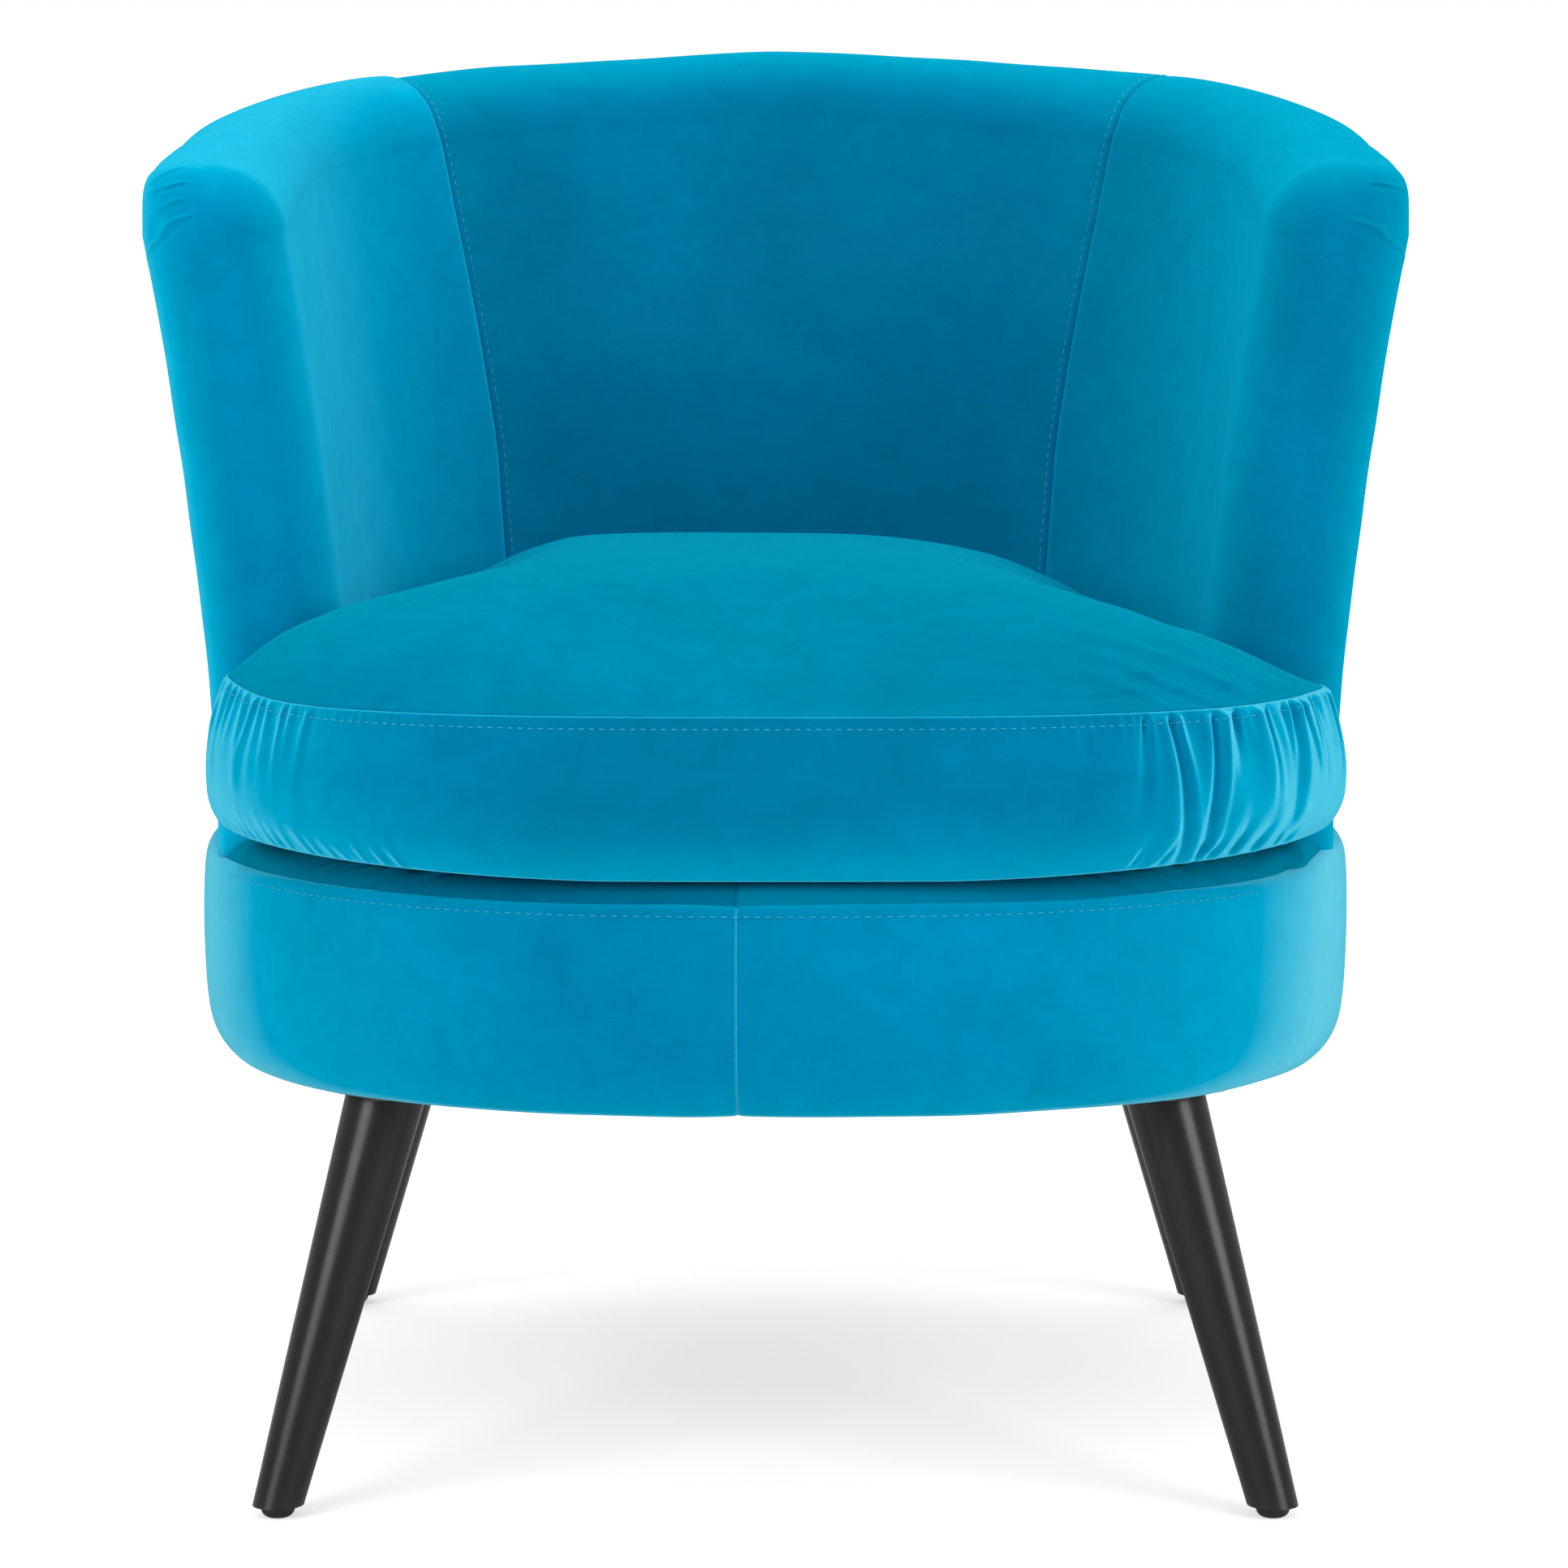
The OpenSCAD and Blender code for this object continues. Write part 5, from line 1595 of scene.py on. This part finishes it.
    def facing_panel(self, side: Side) -> None:
        """Builds half of the strip over the deck's front edge.

        Args:
            side: Which half.
        """
        surface = self.swept(self.facing_profile(), self.deck_half)
        start = math.atan2(self.seam_x, self.deck_half)
        reach = self.deck_half * (1 - (self.facing_end / self.deck_half) ** self.power) ** (1 / self.power)
        end = math.atan2(reach, self.facing_end) * side.value
        rng = np.random.default_rng(5 if side is Side.LEFT else 9)
        folds = [Fold(0.160 + 0.013 * k + rng.uniform(-0.003, 0.003), rng.uniform(0.026, 0.031),
                      -rng.uniform(0.40, 0.60), rng.uniform(0.050, 0.080), rng.uniform(0.0012, 0.0018),
                      rng.uniform(0.0028, 0.0040) * (1 if k % 2 else -0.5)) for k in range(8)]
        if side is Side.RIGHT:
            folds.append(Fold(0.318, 0.014, math.pi / 2, 0.020, 0.014, 0.0045))

        def place(u: Array, v: Array) -> Placed:
            turn = start + (end - start) * u
            from_seam = np.abs(turn - start) * self.half
            run = turn * self.half
            swell = np.sin(math.pi * v)
            height = seam_rise(from_seam, 0.0008) * swell + 0.0004 * ripple(run, v * 0.03, 70, 1.1) * swell
            tied = unit((v - self.covered) / 0.12) * unit((1 - v) / 0.2)
            points = lifted(surface, turn, v, height + folds_rise(folds, np.abs(run), v * self.strip_run) * tied)
            tucked = unit((points[:, 1] + self.tuck_start) / 0.022)
            low = self.seam_z - self.seam_drop
            points[:, 2] = low + (points[:, 2] - low) * (1 - 0.6 * eased(tucked))
            return points, run, v * self.strip_run

        # Both halves of the strip take a velvet copy with the cushion's shade painted in; the left half's copy is
        # the darker one.
        finish = "velvet_dark_nap" if side is Side.LEFT else "velvet_bright_nap"
        velvet_panel(f"deck_strip_{side.word}_velvet", grid_mesh(320, 44, place), finish, Body.FRAME,
                     f"deck_facing_{side.word}", flip=side is Side.LEFT)

    def deck_panel(self) -> None:
        """Builds the cloth over the deck, which follows the foam's edge and is pulled in under the shell."""
        insets, heights = np.array(self.deck_levels).T
        rings = np.stack([seat_outline(self.deck_half, self.deck_half, self.power, self.deck_body, self.deck_ears,
                                       self.deck_rear, self.deck_radius, inset) for inset in insets])
        solid = np.concatenate([rings, np.broadcast_to(heights[:, None, None], rings.shape[:2] + (1,))], axis=2)
        foot = solid[self.deck_foot]
        (tuck, tuck_fade), (ear, ear_fade) = self.deck_tuck, self.deck_ear
        under_shell = unit((foot[:, 1] + tuck) / tuck_fade) * unit((ear - np.abs(foot[:, 0])) / ear_fade)
        along = np.roll(foot, -1, axis=0) - np.roll(foot, 1, axis=0)
        outwards = np.stack([along[:, 1], -along[:, 0]], axis=1)
        outwards /= np.linalg.norm(outwards, axis=1, keepdims=True)
        for ring in range(self.deck_foot + 1, len(solid)):
            step = outwards * (insets[self.deck_foot] - insets[ring])
            rise = np.full((len(foot), 1), heights[ring] - heights[self.deck_foot])
            solid[ring] = foot + np.hstack([step, rise]) * under_shell[:, None]
        middle = np.broadcast_to(np.array([0.0, self.deck_middle, self.deck_top]), solid[:1].shape)
        solid = np.concatenate([middle, solid])

        def place(u: Array, v: Array) -> Placed:
            column = np.mod(np.round(u * solid.shape[1]).astype(int), solid.shape[1])
            at = v * (len(solid) - 1)
            ring = np.minimum(np.floor(at).astype(int), len(solid) - 2)
            k = (at - ring)[:, None]
            points = solid[ring, column] * (1 - k) + solid[ring + 1, column] * k
            return points, points[:, 0], points[:, 1]

        bm = grid_mesh(480, 3 * (len(solid) - 1), place)
        # The deck's cloth takes the deepest velvet copy, with the cushion's shade painted in.
        velvet_panel("deck_cloth_velvet", bm, "velvet_dark_nap", Body.FRAME, "deck_cloth", merge=JOIN, flip=True,
                     thickness=DECK_CLOTH)

    def build(self) -> None:
        """Builds the border, the strip, the deck's cloth and the border's stitches."""
        self.deck_panel()
        for side in Side:
            self.border_panel(side)
            self.facing_panel(side)
        line = self.profile()
        surface = self.swept(line)
        run = run_along(line)
        upper = np.arange(len(line)) < len(line) // 2
        falling = upper & (np.arange(len(line)) > np.argmax(line[:, 1]))
        level = float(np.interp(-(self.seam_z - 0.0020), -line[falling, 1], (run / run[-1])[falling]))
        turn = np.linspace(*self.stitch_turns, 1200)
        share = np.full(len(turn), level)
        height = self.border_height(turn, share, np.full(len(turn), 0.1)) + THREAD_LIFT
        StitchLine("border_stitches", Body.FRAME).build(lifted(surface, turn, share, height, flip=True))


# Studio


@dataclass(frozen=True)
class Lamp:
    """Soft rectangular studio lamp."""

    name: str
    place: tuple[float, float, float]
    size: tuple[float, float]
    power: float

    def build(self, aim: Vector) -> None:
        """Makes the lamp and turns it to the chair."""
        data = bpy.data.lights.new(self.name, "AREA")
        data.shape = "RECTANGLE"
        data.size, data.size_y = self.size
        data.energy = self.power
        lamp = bpy.data.objects.new(self.name, data)
        lamp.location = self.place
        lamp.rotation_euler = (aim - Vector(self.place)).to_track_quat("-Z", "Y").to_euler()
        bpy.context.scene.collection.objects.link(lamp)


@dataclass
class Studio:
    """Camera at the picture's angle, pale floor, soft lamps and white surroundings."""

    lens: float = 128.57
    camera_place: tuple[float, float, float] = (0.0045, -3.118, 0.740)
    tilt: float = 82.93
    aim: tuple[float, float, float] = (0.0, 0.0, 0.4)
    floor_half: float = 200.0

    def build(self) -> None:
        """Builds the camera, the floor, the lamps and the world."""
        scene = bpy.context.scene
        scene.view_settings.view_transform = "Standard"
        data = bpy.data.cameras.new("camera")
        data.lens = self.lens
        data.sensor_width = 36.0
        camera = bpy.data.objects.new("camera", data)
        camera.location = self.camera_place
        camera.rotation_euler = (math.radians(self.tilt), 0, 0)
        scene.collection.objects.link(camera)
        scene.camera = camera
        self.floor()
        for lamp in (
            Lamp("key", (-2.2, -2.6, 1.9), (1.8, 1.8), 58.0),
            Lamp("fill", (2.3, -2.2, 1.6), (1.6, 1.6), 46.0),
            Lamp("top", (0.0, 0.2, 3.0), (2.2, 2.2), 20.0),
        ):
            lamp.build(Vector(self.aim))
        self.world()

    def floor(self) -> None:
        """Makes the pale floor."""
        bm = bmesh.new()
        bmesh.ops.create_grid(bm, x_segments=1, y_segments=1, size=self.floor_half)
        mesh = bpy.data.meshes.new("floor")
        bm.to_mesh(mesh)
        bm.free()
        floor = bpy.data.objects.new("floor", mesh)
        bpy.context.scene.collection.objects.link(floor)
        mesh.materials.append(PaleFloor("pale_floor").material())

    def world(self) -> None:
        """Makes the surroundings: white to the eye and to transmission rays, soft grey as light."""
        world = bpy.data.worlds.new("surroundings")
        world.use_nodes = True
        nodes = Nodes(world.node_tree)
        shown = nodes.tree.nodes["Background"].inputs
        shown["Color"].default_value = (1, 1, 1, 1)
        rays = nodes.add("LightPath").outputs
        seen = nodes.math("MAXIMUM", rays["Is Camera Ray"], rays["Is Transmission Ray"])
        nodes.feed(shown["Strength"], nodes.span(seen, 0.55, 1.0))
        bpy.context.scene.world = world


def dress_nodes() -> None:
    """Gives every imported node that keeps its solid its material."""
    for finish, nodes in NODE_FINISH.items():
        for name in nodes:
            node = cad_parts[name]
            if not node.material_slots:
                node.data.materials.append(FINISHES[finish])
            for slot in node.material_slots:
                slot.material = FINISHES[finish]


def main() -> None:
    """Builds the studio and every sub-assembly."""
    Studio().build()
    dress_nodes()
    Shell().build()
    Cushion().build()
    Base().build()


if __name__ == "__main__":
    main()
